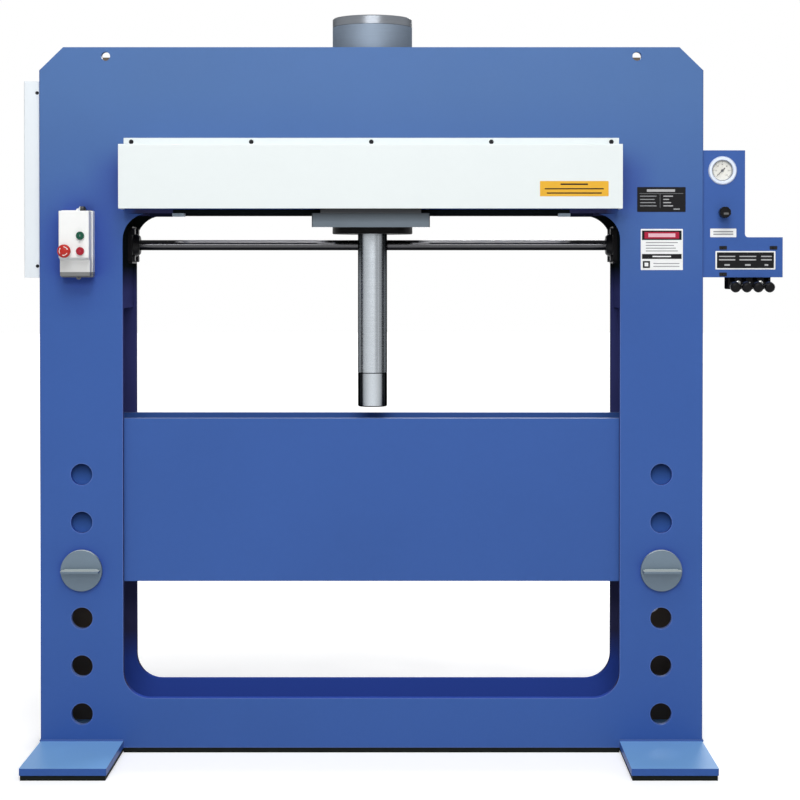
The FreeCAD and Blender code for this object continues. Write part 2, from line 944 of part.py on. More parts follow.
def emergency_button():
    """A domed mushroom head on a stem."""
    x, z = button_places()[2]
    stem = button_stem / 2
    end = mushroom_proud + starter_wall + button_end
    outline = [(mushroom_diameter / 2 * share, mushroom_cap * rise) for share, rise in mushroom_dome]
    outline += [(stem, mushroom_cap), (stem, end), (0, end)]
    return one_solid(turned(outline, V(x, starter_face - mushroom_proud, z), Y))


# ------------------------------------------------------------------ control panel
def panel_outline(inset):
    """The L-shaped outline, drawn in by an inset, as (x, z)."""
    left = half_width + inset
    return [
        (left, panel_bottom + inset),
        (half_width + panel_lower_width - inset, panel_bottom + inset),
        (half_width + panel_lower_width - inset, panel_step - inset),
        (half_width + panel_upper_width - inset, panel_step - inset),
        (half_width + panel_upper_width - inset, panel_top - inset),
        (left, panel_top - inset),
    ]


def control_panel():
    """A folded L-shaped tray on the right column, open at the back."""
    outer = profile([(x, panel_face, z) for x, z in panel_outline(0)], Y * panel_depth)
    corner = V(half_width + panel_upper_width, 0, panel_step)
    outer = outer.makeFillet(panel_inner_radius, edges_at(outer, Y, corner))
    inner = profile(
        [(x, panel_face + panel_sheet, z) for x, z in panel_outline(panel_sheet)], Y * panel_depth)
    corner = V(half_width + panel_upper_width - panel_sheet, 0, panel_step - panel_sheet)
    inner = inner.makeFillet(panel_inner_radius + panel_sheet, edges_at(inner, Y, corner))
    body = outer.cut(inner)
    cuts = [
        round_bar(gauge_cup_outside() + 2 * screw_play, gauge_place, Y, panel_sheet),
        round_bar(knob_spindle + 2 * bolt_play, knob_place, Y, panel_sheet),
        block(
            (lever_block_left - sheet, panel_face + panel_sheet, panel_bottom - past),
            (lever_block_left + lever_block_width + sheet, panel_face + panel_depth + past,
             panel_bottom + panel_sheet + past)),
    ]
    for x, z in valve_fixing_places():
        cuts.append(rounded_block(
            (x - panel_slot_length / 2, panel_face, z - panel_slot_height / 2),
            (x + panel_slot_length / 2, panel_face + panel_sheet, z + panel_slot_height / 2),
            panel_slot_height / 2 - screw_play, Y))
    return one_solid(body.cut(cuts))


def valve_fixing_places():
    """The slots that the valve block is screwed through, as (x, z)."""
    inset = panel_slot_height
    left = valve_left + inset
    right = valve_left + valve_width - inset
    low = panel_bottom + inset
    high = valve_top - inset
    return [(left, low), (left, high), (right, high)]


def gauge_cup_outside():
    return gauge_dial_diameter + 2 * gauge_cup_wall


def gauge_case():
    """The gauge's turned case: a wide front flange and a cup that the dial sits in."""
    bore = gauge_dial_diameter / 2
    cup = gauge_cup_outside() / 2
    rim = gauge_flange / 2
    front = -gauge_flange_thickness
    floor = gauge_cup_depth - gauge_cup_floor
    seat = bore - gauge_dial_seat
    outline = [
        (bore, front + gauge_rim_edge), (bore + gauge_lip_run, front), (rim - gauge_rim_run, front),
        (rim, -gauge_rim_edge), (rim, 0), (cup, 0), (cup, gauge_cup_depth), (0, gauge_cup_depth),
        (0, floor), (seat, floor), (seat, gauge_dial_depth), (bore, gauge_dial_depth),
    ]
    return one_solid(turned(outline, gauge_place, Y))


def gauge_dial():
    outline = [
        (needle_spindle / 2 + slide_fit, gauge_dial_depth - gauge_dial_thickness),
        (gauge_dial_diameter / 2 - slide_fit, gauge_dial_depth - gauge_dial_thickness),
        (gauge_dial_diameter / 2 - slide_fit, gauge_dial_depth),
        (needle_spindle / 2 + slide_fit, gauge_dial_depth),
    ]
    return one_solid(turned(outline, gauge_place, Y))


def gauge_glass():
    radius = gauge_dial_diameter / 2 - slide_fit
    front = -gauge_flange_thickness + gauge_glass_set_back
    outline = [(0, front), (radius, front), (radius, front + gauge_glass_thickness),
               (0, front + gauge_glass_thickness)]
    return one_solid(turned(outline, gauge_place, Y))


def gauge_needle():
    """A tapering pointer on a hub, with its spindle through the dial; it rests at zero."""
    depth = gauge_dial_depth - gauge_dial_thickness - needle_above_dial - needle_thickness
    right = [(needle_tip, needle_length), (needle_waist, 0), (needle_tail_width, -needle_tail)]
    outline = [(width / 2, 0, height) for width, height in right]
    outline += [(-width / 2, 0, height) for width, height in reversed(right)]
    body = profile(outline, Y * needle_thickness)
    body = body.fuse(round_bar(
        needle_hub, (0, -needle_hub_proud, 0), Y, needle_thickness + 2 * needle_hub_proud))
    body = body.fuse(round_bar(
        needle_spindle, (0, 0, 0), Y, gauge_dial_depth - depth + needle_spindle_end))
    body.rotate(V(0, 0, 0), Y, -needle_zero_angle)
    body.translate(gauge_place + Y * depth)
    return one_solid(body)


def pressure_knob():
    """A fluted grip on a collar and spindle."""
    grip = knob_diameter / 2
    collar = knob_collar / 2
    body = turned(
        [(0, -knob_proud), (grip - knob_chamfer, -knob_proud), (grip, -knob_proud + knob_chamfer),
         (grip, -knob_proud + knob_grip), (collar, -knob_proud + knob_grip + knob_neck),
         (collar, -stop_gap), (0, -stop_gap)],
        knob_place, Y)
    for number in range(knob_flute_count):
        angle = math.radians(360.0 * number / knob_flute_count)
        middle = knob_place + V(math.cos(angle), 0, math.sin(angle)) * (grip + knob_flute / 4)
        flute = round_bar(knob_flute, middle - Y * (knob_proud + past), Y, knob_grip)
        body = body.cut(flute)
    spindle = round_bar(knob_spindle, knob_place - Y * past, Y, panel_sheet + knob_spindle_end)
    return one_solid(body.fuse(spindle))


def relief_valve():
    """The pressure valve that the knob sets, on the back of the panel."""
    bore = knob_spindle / 2 + slide_fit
    radius = relief_valve_diameter / 2
    neck = relief_valve_neck / 2
    outline = [
        (bore, panel_sheet), (radius, panel_sheet), (radius, relief_valve_body),
        (neck, relief_valve_body + relief_valve_taper), (neck, relief_valve_length),
        (0, relief_valve_length), (0, relief_valve_bore_end), (bore, relief_valve_bore_end),
    ]
    return one_solid(turned(outline, knob_place, Y))


def lever_places():
    """Where the levers pivot along the lever block."""
    middle = lever_block_left + lever_block_width / 2
    first = middle - lever_pitch * (lever_count - 1) / 2
    return [first + lever_pitch * number for number in range(lever_count)]


def valve_block():
    """The valve body behind the panel, with the slotted lever block that hangs below it."""
    upper = block(
        (valve_left, valve_face, panel_bottom + panel_sheet),
        (valve_left + valve_width, valve_face + valve_body_depth, valve_top))
    lower = rounded_block(
        (lever_block_left, valve_face, lever_block_bottom),
        (lever_block_left + lever_block_width, valve_face + valve_body_depth, panel_bottom),
        valve_corner, Y)
    neck = block(
        (lever_block_left, valve_face, panel_bottom - 2 * valve_corner),
        (lever_block_left + lever_block_width, valve_face + valve_body_depth,
         panel_bottom + panel_sheet))
    body = upper.fuse(lower).fuse(neck)
    slots = [block(
        (place - lever_slot / 2, valve_face - past, lever_block_bottom - past),
        (place + lever_slot / 2, valve_face + lever_slot_depth, panel_bottom - sheet))
        for place in lever_places()]
    body = body.cut(slots)
    pivot = round_bar(
        lever_pivot, (lever_block_left, lever_pivot_y, lever_pivot_height), X, lever_block_width)
    return one_solid(body.fuse(pivot))


def lever(place):
    """A lever: a hub on the pivot, a rod and a turned knob that points forward."""
    width = lever_slot - 2 * lever_hub_play
    hub = round_bar(lever_hub, (place - width / 2, 0, 0), X, width)
    start = lever_length - lever_knob_length / 2
    rod = round_bar(lever_rod, (place, 0, 0), Y * -1, start)
    knob = lever_knob_diameter / 2
    grip = turned(
        [(knob * share, start + lever_knob_length * along) for share, along in lever_knob_shape],
        V(place, 0, 0), Y * -1)
    body = hub.fuse(rod).fuse(grip)
    bore = round_bar(lever_pivot + 2 * slide_fit, (place - width, 0, 0), X, 2 * width)
    body = body.cut(bore)
    body.rotate(V(place, 0, 0), X, lever_droop)
    body.translate(V(0, lever_pivot_y, lever_pivot_height))
    return one_solid(body)


# ------------------------------------------------------------------ carriage and cylinder
def carriage_plate():
    """The thick plate under the beam that the cylinder stands in."""
    body = block(
        (-carriage_length / 2, -hanger_back, carriage_bottom),
        (carriage_length / 2, hanger_back, carriage_top))
    body = body.makeChamfer(ram_chamfer, edges_along(body, Z))
    hole = round_bar(barrel_outer_diameter + 2 * slide_fit, (0, 0, carriage_bottom), Z, carriage_thickness)
    return one_solid(body.cut(hole))


def cylinder_barrel():
    bore = barrel_inner_diameter / 2
    outside = barrel_outer_diameter / 2
    body = turned(
        [(bore, carriage_bottom), (outside, carriage_bottom), (outside, barrel_top), (bore, barrel_top)],
        V(0, 0, 0), Z)
    port = round_bar(port_hole, (0, 0, gland_top + 2 * port_hole), X * -1, barrel_outer_diameter)
    return one_solid(body.cut(port))


def cylinder_cap():
    """The lid of the cylinder: a disc with a spigot, an oil port and two holes for a pin spanner."""
    outside = barrel_outer_diameter / 2
    spigot = barrel_inner_diameter / 2 - slide_fit
    top = barrel_top + cap_thickness
    body = turned(
        [(0, barrel_top - cap_spigot), (spigot, barrel_top - cap_spigot), (spigot, barrel_top),
         (outside - cap_edge, barrel_top), (outside, barrel_top + cap_edge),
         (outside, top - ram_chamfer), (outside - ram_chamfer, top), (0, top)],
        V(0, 0, 0), Z)
    holes = [round_bar(port_hole, (0, 0, barrel_top - cap_spigot), Z, cap_spigot + cap_thickness)]
    for side in (-1, 1):
        start = (side * cap_spanner_spacing / 2, 0, top - cap_thickness / 2)
        holes.append(round_bar(cap_spanner_hole, start, Z, cap_thickness / 2))
    return one_solid(body.cut(holes))


def gland_ring():
    """The cylinder's bottom: a ring under the carriage with a spigot that guides the ram."""
    bore = ram_diameter / 2 + slide_fit
    rim = gland_ring_diameter / 2
    spigot = barrel_inner_diameter / 2 - slide_fit
    outline = [
        (bore, gland_bottom), (rim - gland_chamfer, gland_bottom), (rim, gland_bottom + gland_chamfer),
        (rim, carriage_bottom), (spigot, carriage_bottom), (spigot, gland_top), (bore, gland_top),
    ]
    return one_solid(turned(outline, V(0, 0, 0), Z))


def ram_rod():
    """The ram: a bright rod with a neck for the piston and a socket for its end piece."""
    radius = ram_diameter / 2
    neck = ram_neck / 2
    socket = ram_stud / 2 + slide_fit
    seat = gland_top + stop_gap
    outline = [
        (socket, ram_joint), (radius - ram_chamfer / 2, ram_joint), (radius, ram_joint + ram_chamfer / 2),
        (radius, seat), (neck, seat), (neck, seat + piston_height), (0, seat + piston_height),
        (0, ram_joint + ram_stud_length), (socket, ram_joint + ram_stud_length),
    ]
    return one_solid(turned(outline, V(0, 0, 0), Z))


def ram_end():
    """The exchangeable end piece that presses the work."""
    radius = ram_diameter / 2
    chamfer = ram_chamfer / 2
    stud_end = ram_joint + ram_stud_length - ram_stud_end_gap
    outline = [
        (0, ram_tip), (radius - ram_chamfer, ram_tip), (radius, ram_tip + ram_chamfer),
        (radius, ram_joint - chamfer), (radius - chamfer, ram_joint), (ram_stud / 2, ram_joint),
        (ram_stud / 2, stud_end), (0, stud_end),
    ]
    return one_solid(turned(outline, V(0, 0, 0), Z))


def piston():
    """The piston ring on the ram's neck, with a groove for its seal."""
    bore = ram_neck / 2 + slide_fit
    outside = barrel_inner_diameter / 2 - slide_fit
    low = gland_top + stop_gap
    groove = low + (piston_height - piston_groove_height) / 2
    outline = [
        (bore, low), (outside, low), (outside, groove), (outside - piston_groove_depth, groove),
        (outside - piston_groove_depth, groove + piston_groove_height),
        (outside, groove + piston_groove_height), (outside, low + piston_height),
        (bore, low + piston_height),
    ]
    return one_solid(turned(outline, V(0, 0, 0), Z))


def axle_places():
    """Where the front rollers' axles stand along the carriage."""
    return [-roller_spacing / 2, roller_spacing / 2]


def front_hanger():
    """The plate that hangs the carriage from its front rollers."""
    half = hanger_length / 2
    top = axle_height + hanger_above_axle
    outline = [
        (-half, carriage_top), (-half, top - hanger_corner), (-half + hanger_corner, top),
        (half - hanger_corner, top), (half, top - hanger_corner), (half, carriage_top),
    ]
    body = profile([(x, -hanger_back, z) for x, z in outline], Y * hanger_thickness)
    holes = [round_bar(axle_diameter + 2 * slide_fit, (x, -hanger_back, axle_height), Y, hanger_thickness)
             for x in axle_places()]
    return body.cut(holes)


def front_axle(x):
    """A roller's axle: head outside the hanger, shoulder inside, and a plain end."""
    radius = axle_diameter / 2
    shoulder = axle_shoulder / 2
    rim = axle_head / 2
    roller_front = hanger_back - (roller_middle + roller_width / 2)
    length = roller_front + roller_width + axle_end
    return turned(
        [(0, -axle_head_thickness), (rim - axle_head_chamfer, -axle_head_thickness),
         (rim, -axle_head_thickness + axle_head_chamfer), (rim, 0), (radius, 0),
         (radius, hanger_thickness), (shoulder, hanger_thickness), (shoulder, roller_front - roller_gap),
         (radius, roller_front - roller_gap), (radius, length), (0, length)],
        V(x, -hanger_back, axle_height), Y)


def front_roller(x):
    """A turned roller on the rail."""
    bore = axle_diameter / 2 + slide_fit
    rim = roller_diameter / 2
    outline = [
        (bore, 0), (rim - roller_chamfer, 0), (rim, roller_chamfer),
        (rim, roller_width - roller_chamfer), (rim - roller_chamfer, roller_width), (bore, roller_width),
    ]
    return turned(outline, V(x, -roller_middle - roller_width / 2, axle_height), Y)


# ------------------------------------------------------------------ bed and pins
def front_bed_plate():
    """A deep plate with a saddle at each end that drops over the pins."""
    half = bed_length / 2
    body = rounded_block((-half, -bed_face, bed_bottom), (half, -bed_inside, bed_top), bed_corner, Y)
    saddle = pin_diameter / 2 + pin_play
    cuts = []
    for side in (-1, 1):
        middle = side * column_middle
        cuts.append(round_bar(2 * saddle, (middle, -bed_face, pin_height), Y, bed_plate_thickness))
        cuts.append(block(
            (middle - saddle, -bed_face, bed_bottom - past),
            (middle + saddle, -bed_inside, pin_height)))
    return one_solid(body.cut(cuts))


def bed_ties():
    """Low plates between the bed plates; the ram passes above them."""
    low = bed_bottom + bed_corner
    half = tie_thickness / 2
    ties = []
    for step in (-1, 0, 1):
        middle = step * bed_tie_spacing
        ties.append(block(
            (middle - half, -bed_inside, low), (middle + half, bed_inside, low + bed_tie_height)))
    return group(ties)


def bed_lug(side):
    """The cross plate inside a column that the lifting rope takes hold of."""
    high = bed_top - bed_lug_drop
    low_x = side * drum_middle - bed_lug_width / 2
    body = block(
        (low_x, -bed_inside, high - tie_thickness),
        (low_x + bed_lug_width, bed_inside, high))
    rope_y = lift_shaft_behind - drum_core / 2
    start = (side * drum_middle, rope_y, high - tie_thickness)
    return body.cut(round_bar(rope_hole, start, Z, tie_thickness))


def bed_pin(side):
    """A pin through both frame plates, with a disc head and a plate to grip it by."""
    shank = pin_diameter / 2
    head = pin_head_diameter / 2
    length = frame_depth + pin_end_proud
    body = turned(
        [(0, -pin_head_thickness), (head - pin_head_chamfer, -pin_head_thickness),
         (head, -pin_head_thickness + pin_head_chamfer), (head, 0), (shank, 0),
         (shank, length - pin_chamfer), (shank - pin_chamfer, length), (0, length)],
        V(side * column_middle, -half_depth, pin_height), Y)
    half = pin_grip_length / 2
    grip = rounded_block(
        (side * column_middle - half, -half_depth - pin_head_thickness - pin_grip_depth,
         pin_height - pin_grip_thickness / 2),
        (side * column_middle + half, -half_depth - pin_head_thickness / 2,
         pin_height + pin_grip_thickness / 2),
        pin_chamfer, Z)
    return one_solid(body.fuse(grip))


# ------------------------------------------------------------------ every node
def front_and_rear(body):
    return [body, mirrored(body, Y)]


def left_and_right(make):
    return group([make(side) for side in (-1, 1)])


front = front_plate()
cover = front_cover()
bed_plate = front_bed_plate()
nodes = {
    "front_frame_plate": front,
    "rear_frame_plate": mirrored(front, Y),
    "left_side_plate": left_side_plate(),
    "right_side_plate": side_plate(1),
    "bearing_plates": left_and_right(bearing_plate),
    "frame_ties": frame_ties(),
    "feet": left_and_right(foot),
    "foot_pads": left_and_right(foot_pad),
    "base_strip": base_strip(),
    "carriage_rails": group(front_and_rear(carriage_rail())),
    "carriage_stops": left_and_right(carriage_stop),
    "front_cover": cover,
    "rear_cover": mirrored(cover, Y),
    "cover_screws": cover_screws(),
    "side_cover": side_cover(),
    "side_cover_screws": side_cover_screws(),
    "oil_tank": oil_tank(),
    "tank_lid": tank_lid(),
    "pump": pump(),
    "pump_motor": pump_motor(),
    "starter_base": starter_base(),
    "starter_lid": starter_lid(),
    "start_button": push_button(0),
    "stop_button": push_button(1),
    "emergency_button": emergency_button(),
    "control_panel": control_panel(),
    "gauge_case": gauge_case(),
    "gauge_dial": gauge_dial(),
    "gauge_glass": gauge_glass(),
    "gauge_needle": gauge_needle(),
    "pressure_knob": pressure_knob(),
    "relief_valve": relief_valve(),
    "valve_block": valve_block(),
    "flange_bearings": left_and_right(flange_bearing),
    "bearing_bolts": bearing_bolts(),
    "lift_shaft": lift_shaft(),
    "rope_drums": left_and_right(rope_drum),
    "carriage_plate": carriage_plate(),
    "cylinder_barrel": cylinder_barrel(),
    "cylinder_cap": cylinder_cap(),
    "gland_ring": gland_ring(),
    "roller_hangers": group(front_and_rear(front_hanger())),
    "ram_rod": ram_rod(),
    "ram_end": ram_end(),
    "piston": piston(),
    "front_bed_plate": bed_plate,
    "rear_bed_plate": mirrored(bed_plate, Y),
    "bed_ties": bed_ties(),
    "bed_lugs": left_and_right(bed_lug),
    "left_pin": bed_pin(-1),
    "right_pin": bed_pin(1),
}

for number, place in enumerate(lever_places()):
    nodes["lever_%d" % (number + 1)] = lever(place)

axles = [axle for x in axle_places() for axle in front_and_rear(front_axle(x))]
nodes["roller_axles"] = group(axles)
for x, side in zip(axle_places(), ("left", "right")):
    for roller, row in zip(front_and_rear(front_roller(x)), ("front", "rear")):
        nodes["%s_%s_roller" % (row, side)] = one_solid(roller)

os.makedirs("parts", exist_ok=True)
for name, body in nodes.items():
    body.exportStep("parts/%s.step" % name)
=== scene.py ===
import json
import math

import bmesh
import bpy
from mathutils import Matrix, Vector


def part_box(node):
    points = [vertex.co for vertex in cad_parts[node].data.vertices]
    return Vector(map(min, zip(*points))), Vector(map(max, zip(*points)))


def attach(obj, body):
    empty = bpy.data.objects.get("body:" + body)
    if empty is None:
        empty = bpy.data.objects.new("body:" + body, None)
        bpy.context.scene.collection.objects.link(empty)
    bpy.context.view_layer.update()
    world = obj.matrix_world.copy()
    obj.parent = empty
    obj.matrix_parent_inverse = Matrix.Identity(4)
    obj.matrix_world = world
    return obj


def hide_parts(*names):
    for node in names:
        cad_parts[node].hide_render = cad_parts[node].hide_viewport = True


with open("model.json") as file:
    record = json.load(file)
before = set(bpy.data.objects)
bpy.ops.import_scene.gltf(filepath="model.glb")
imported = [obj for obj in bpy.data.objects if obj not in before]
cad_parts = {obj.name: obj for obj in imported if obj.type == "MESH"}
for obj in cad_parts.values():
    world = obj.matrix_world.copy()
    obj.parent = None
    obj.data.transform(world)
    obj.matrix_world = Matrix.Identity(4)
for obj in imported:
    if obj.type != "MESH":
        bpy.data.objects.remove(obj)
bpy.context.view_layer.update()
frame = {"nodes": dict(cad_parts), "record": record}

# Looks of a hydraulic workshop press: a blue plate frame, white sheet covers, a bright ram under a
# steel carriage, a bed on two pins, a starter box, a gauge and a bank of lever valves.
# Metres.  X runs along the beam, Y to the back and Z up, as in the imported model.

bl_info = {
    "name": "Workshop press looks",
    "version": (1, 0, 0),
    "blender": (4, 5, 0),
    "location": "3D View > Sidebar > Press",
    "description": "Dresses the packed press and sets up its studio",
    "category": "Object",
}

MM = 0.001

# ---------- places taken from the frame
FRAME_LOW, FRAME_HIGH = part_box("front_frame_plate")
REAR_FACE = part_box("rear_frame_plate")[1].y
COVER_LOW, COVER_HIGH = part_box("front_cover")
PANEL_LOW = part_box("control_panel")[0]
BLOCK_LOW, BLOCK_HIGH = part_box("valve_block")
BEARING_SET_BACK = 24 * MM
HALF_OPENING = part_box("bearing_plates")[1].x - BEARING_SET_BACK
COLUMN_WIDTH = 0.25
INSIDE_COLUMN = (0.80, 1.0)
PLATE_SKIN = 19.5 * MM
PIN_PITCH = 0.145
UPPER_HOLE = 0.697
HOLE_RADIUS = 32.5 * MM


def middle_of(node):
    low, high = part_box(node)
    return (low + high) / 2


def front_of(node):
    """The middle of a node's front face."""
    middle = middle_of(node)
    return Vector((middle.x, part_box(node)[0].y, middle.z))


def radius_of(node):
    low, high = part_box(node)
    return (high.x - low.x) / 2


DIAL_RADIUS = radius_of("gauge_dial")


# ---------- settings
def colour(name, description, value):
    return bpy.props.FloatVectorProperty(
        name=name, description=description, subtype="COLOR", size=3, min=0, max=1, default=value)


def number(name, description, value, **kind):
    return bpy.props.FloatProperty(name=name, description=description, default=value, **kind)


def length(name, description, value):
    return number(name, description, value, subtype="DISTANCE", unit="LENGTH")


class PressPaint(bpy.types.PropertyGroup):
    """Colours of the press, as linear values."""
    blue: colour("Blue", "Paint of the frame, the bed and the panel", (0.038, 0.102, 0.345))
    white: colour("White", "Powder coat of the long covers", (0.74, 0.79, 0.79))
    grey: colour("Light grey", "Powder coat of the side cover", (0.74, 0.79, 0.83))
    dark: colour("Tank grey", "Paint of the tank and the motor", (0.045, 0.055, 0.070))
    steel: colour("Steel", "Machined steel of the carriage", (0.078, 0.096, 0.114))
    barrel: colour("Cylinder", "Turned steel of the cylinder", (0.205, 0.250, 0.310))
    chrome: colour("Ram", "Hard chrome of the ram", (0.52, 0.56, 0.60))
    pin: colour("Pins", "Plated steel of the two pins", (0.126, 0.172, 0.218))
    # Painted light and shade inside the frame: the lit colour of its level faces, and the painted shadow
    # on its upright faces and under the long covers.
    inside: colour("Inside", "Lit paint on the level faces inside the frame", (0.038, 0.086, 0.45))
    primer: colour("Painted_shadow", "Dark primer on the upright faces inside the frame", (0.046, 0.048, 0.125))
    # Painted light: a lighter blue on the level tops of the feet.
    foot: colour("Foot tops", "Brighter paint on top of the feet", (0.22, 0.46, 0.82))
    # Painted shade: the stops' colour is dark where they lie in the shade under the beam.
    stop: colour("Stops", "Dark paint of the carriage stops", (0.010, 0.012, 0.030))
    black: colour("Black steel", "Blackened screws, shaft and ring", (0.014, 0.014, 0.016))
    plastic: colour("Box", "Moulded housing of the starter", (0.84, 0.85, 0.84))


class PressMarks(bpy.types.PropertyGroup):
    """Plates, labels and small fittings."""
    film: length("Film", "Thickness of a stuck-on label", 0.4 * MM)
    print_depth: length("Print", "How far a printed field stands on its label", 0.06 * MM)
    bead: length("Weld bead", "Radius of the weld beads", 4.5 * MM)
    screw: length("Screw head", "Diameter of the cover screws' heads", 14 * MM)


class PressStudio(bpy.types.PropertyGroup):
    """Camera, lamps and floor."""
    camera_x: length("Camera X", "Camera's place along the beam", 0.1346)
    camera_y: length("Camera Y", "Camera's distance in front of the origin", -5.9258)
    camera_z: length("Camera Z", "Camera's height", 1.4535)
    pitch: number("Pitch", "Camera's tilt below the level", 0.0126, subtype="ANGLE", unit="ROTATION")
    lens: number("Lens", "Focal length in millimetres", 86.204)
    shift_x: number("Shift X", "Sideways shift", -0.02)
    shift_y: number("Shift Y", "Upward shift", -0.13)
    key: number("Key lamp", "Power of the lamp above the camera", 228, unit="POWER")
    front: number("Front lamp", "Power of the low lamp behind the camera", 182, unit="POWER")
    top: number("Top lamp", "Power of the lamp overhead", 58, unit="POWER")
    back: number("Back lamp", "Power of the lamp behind the press", 210, unit="POWER")
    sky: number("Sky", "Strength of the even light all round", 0.20)
    floor: colour("Floor", "Colour of the studio floor", (0.82, 0.82, 0.82))


# ---------- nodes
class Net:
    """Adds nodes to one tree.  A value is a number, a colour, a vector or another node's socket."""
    effects = {}

    def __init__(self, tree):
        self.tree = tree

    def feed(self, node, values):
        """Links or sets a node's inputs, by name or number; colours have three parts."""
        for key, value in values.items():
            self.put(node.inputs[key], value)

    def put(self, socket, value):
        if isinstance(value, bpy.types.NodeSocket):
            self.tree.links.new(value, socket)
        else:
            socket.default_value = (*value[:3], 1) if socket.type == "RGBA" else value

    def add(self, kind, values=None, **settings):
        node = self.tree.nodes.new("ShaderNode" + kind)
        for key, value in settings.items():
            setattr(node, key, value)
        self.feed(node, values or {})
        return node

    def effect(self, maker, values):
        """The outputs of a shared effect, which is built the first time that it is asked for."""
        if maker not in self.effects:
            self.effects[maker] = maker()
        node = self.add("Group", node_tree=self.effects[maker])
        self.feed(node, values)
        return node.outputs

    def math(self, operation, first, second=0.0):
        return self.add("Math", {0: first, 1: second}, operation=operation).outputs[0]

    def plus(self, first, second):
        return self.math("ADD", first, second)

    def times(self, first, *others):
        for other in others:
            first = self.math("MULTIPLY", first, other)
        return first

    def most(self, first, *others):
        for other in others:
            first = self.math("MAXIMUM", first, other)
        return first

    def vector(self, operation, first, second=(0, 0, 0), output="Vector"):
        return self.add("VectorMath", {0: first, 1: second}, operation=operation).outputs[output]

    def span(self, value, low, high, start=0.0, end=1.0):
        """A value brought from one range to another."""
        return self.add("MapRange", {"Value": value, "From Min": start, "From Max": end, "To Min": low,
                                     "To Max": high}).outputs["Result"]

    def noise(self, scale, detail=3.0, roughness=0.5, place=None):
        return self.add("TexNoise", {"Vector": place or self.place(), "Scale": scale, "Detail": detail,
                                     "Roughness": roughness}).outputs["Fac"]

    def sway(self, value, contrast, gain):
        """A tone around one that goes with a noise."""
        return self.plus(self.times(self.math("SUBTRACT", value, 0.5), contrast, gain), 1.0)

    def place(self):
        return self.add("TexCoord").outputs["Object"]

    def normal(self):
        return self.add("NewGeometry").outputs["Normal"]

    def part(self, vector, axis):
        return self.add("SeparateXYZ", {0: vector}).outputs[axis]

    def along(self, axis):
        """The object's own coordinate along an axis."""
        return self.part(self.place(), axis)

    def reach(self, axis):
        return self.math("ABSOLUTE", self.along(axis))

    def between(self, value, low, high):
        return self.times(self.math("GREATER_THAN", value, low), self.math("LESS_THAN", value, high))

    def band(self, axis, low, high):
        """One where the size of an object coordinate lies between two limits."""
        return self.between(self.reach(axis), low, high)

    def height(self, low, high, start, end):
        """A value that goes with the object's own height."""
        return self.span(self.along("Z"), low, high, start, end)

    def looking(self, axis, start, end):
        """A mask from the way that a face looks along an axis: nought at start, one at end."""
        return self.span(self.part(self.normal(), axis), 0.0, 1.0, start, end)

    def turned_away(self, low, high, start, end):
        """A value that goes with how far a face is turned from the eye."""
        return self.span(self.add("LayerWeight", {"Blend": 0.5}).outputs["Facing"], low, high, start, end)

    def softened(self, radius, samples):
        """Normals as if the edges were rounded, and how well they match the face's own."""
        soft = self.add("Bevel", {"Radius": radius}, samples=samples).outputs["Normal"]
        return soft, self.vector("DOT_PRODUCT", soft, self.normal(), "Value")

    def shade(self, base, amount):
        """A colour made lighter or darker by a value around one."""
        return self.add("VectorMath", {0: base, "Scale": amount}, operation="SCALE").outputs["Vector"]

    def blend(self, mask, first, second):
        node = self.add("Mix", {"Factor": mask}, data_type="RGBA")
        for value, socket in zip((first, second), [s for s in node.inputs if s.type == "RGBA"]):
            self.put(socket, value)
        return next(socket for socket in node.outputs if socket.type == "RGBA")

    def surface(self, made, given, base, patches, relief, distance, normal=None):
        """Fills the outputs of an effect: a colour, a patchy roughness and a fine relief."""
        bump = self.add("Bump", {"Height": relief, "Distance": distance, "Strength": given["Depth"]})
        if normal is not None:
            self.feed(bump, {"Normal": normal})
        self.feed(made, {"Colour": base, "Roughness": self.plus(given["Gloss"], patches),
                         "Normal": bump.outputs["Normal"]})
        return self.tree


def new_material(name):
    material = bpy.data.materials.new(name)
    material.use_nodes = True
    return material, Net(material.node_tree), material.node_tree.nodes["Principled BSDF"]


GREY = (0.5, 0.5, 0.5, 1)
SURFACE = {"Colour": GREY, "Roughness": 0.5, "Normal": (0, 0, 0)}


def new_group(name, inputs, outputs=SURFACE):
    """A net in a new shader group, what is given to it, and the node that takes what it makes."""
    tree = bpy.data.node_groups.new(name, "ShaderNodeTree")
    for side, sockets in (("INPUT", inputs), ("OUTPUT", outputs)):
        for label, value in sockets.items():
            kind = {4: "Color", 3: "Vector"}[len(value)] if isinstance(value, tuple) else "Float"
            socket = tree.interface.new_socket(label, in_out=side, socket_type="NodeSocket" + kind)
            if side == "INPUT":
                socket.default_value = value
    return Net(tree), tree.nodes.new("NodeGroupInput").outputs, tree.nodes.new("NodeGroupOutput")


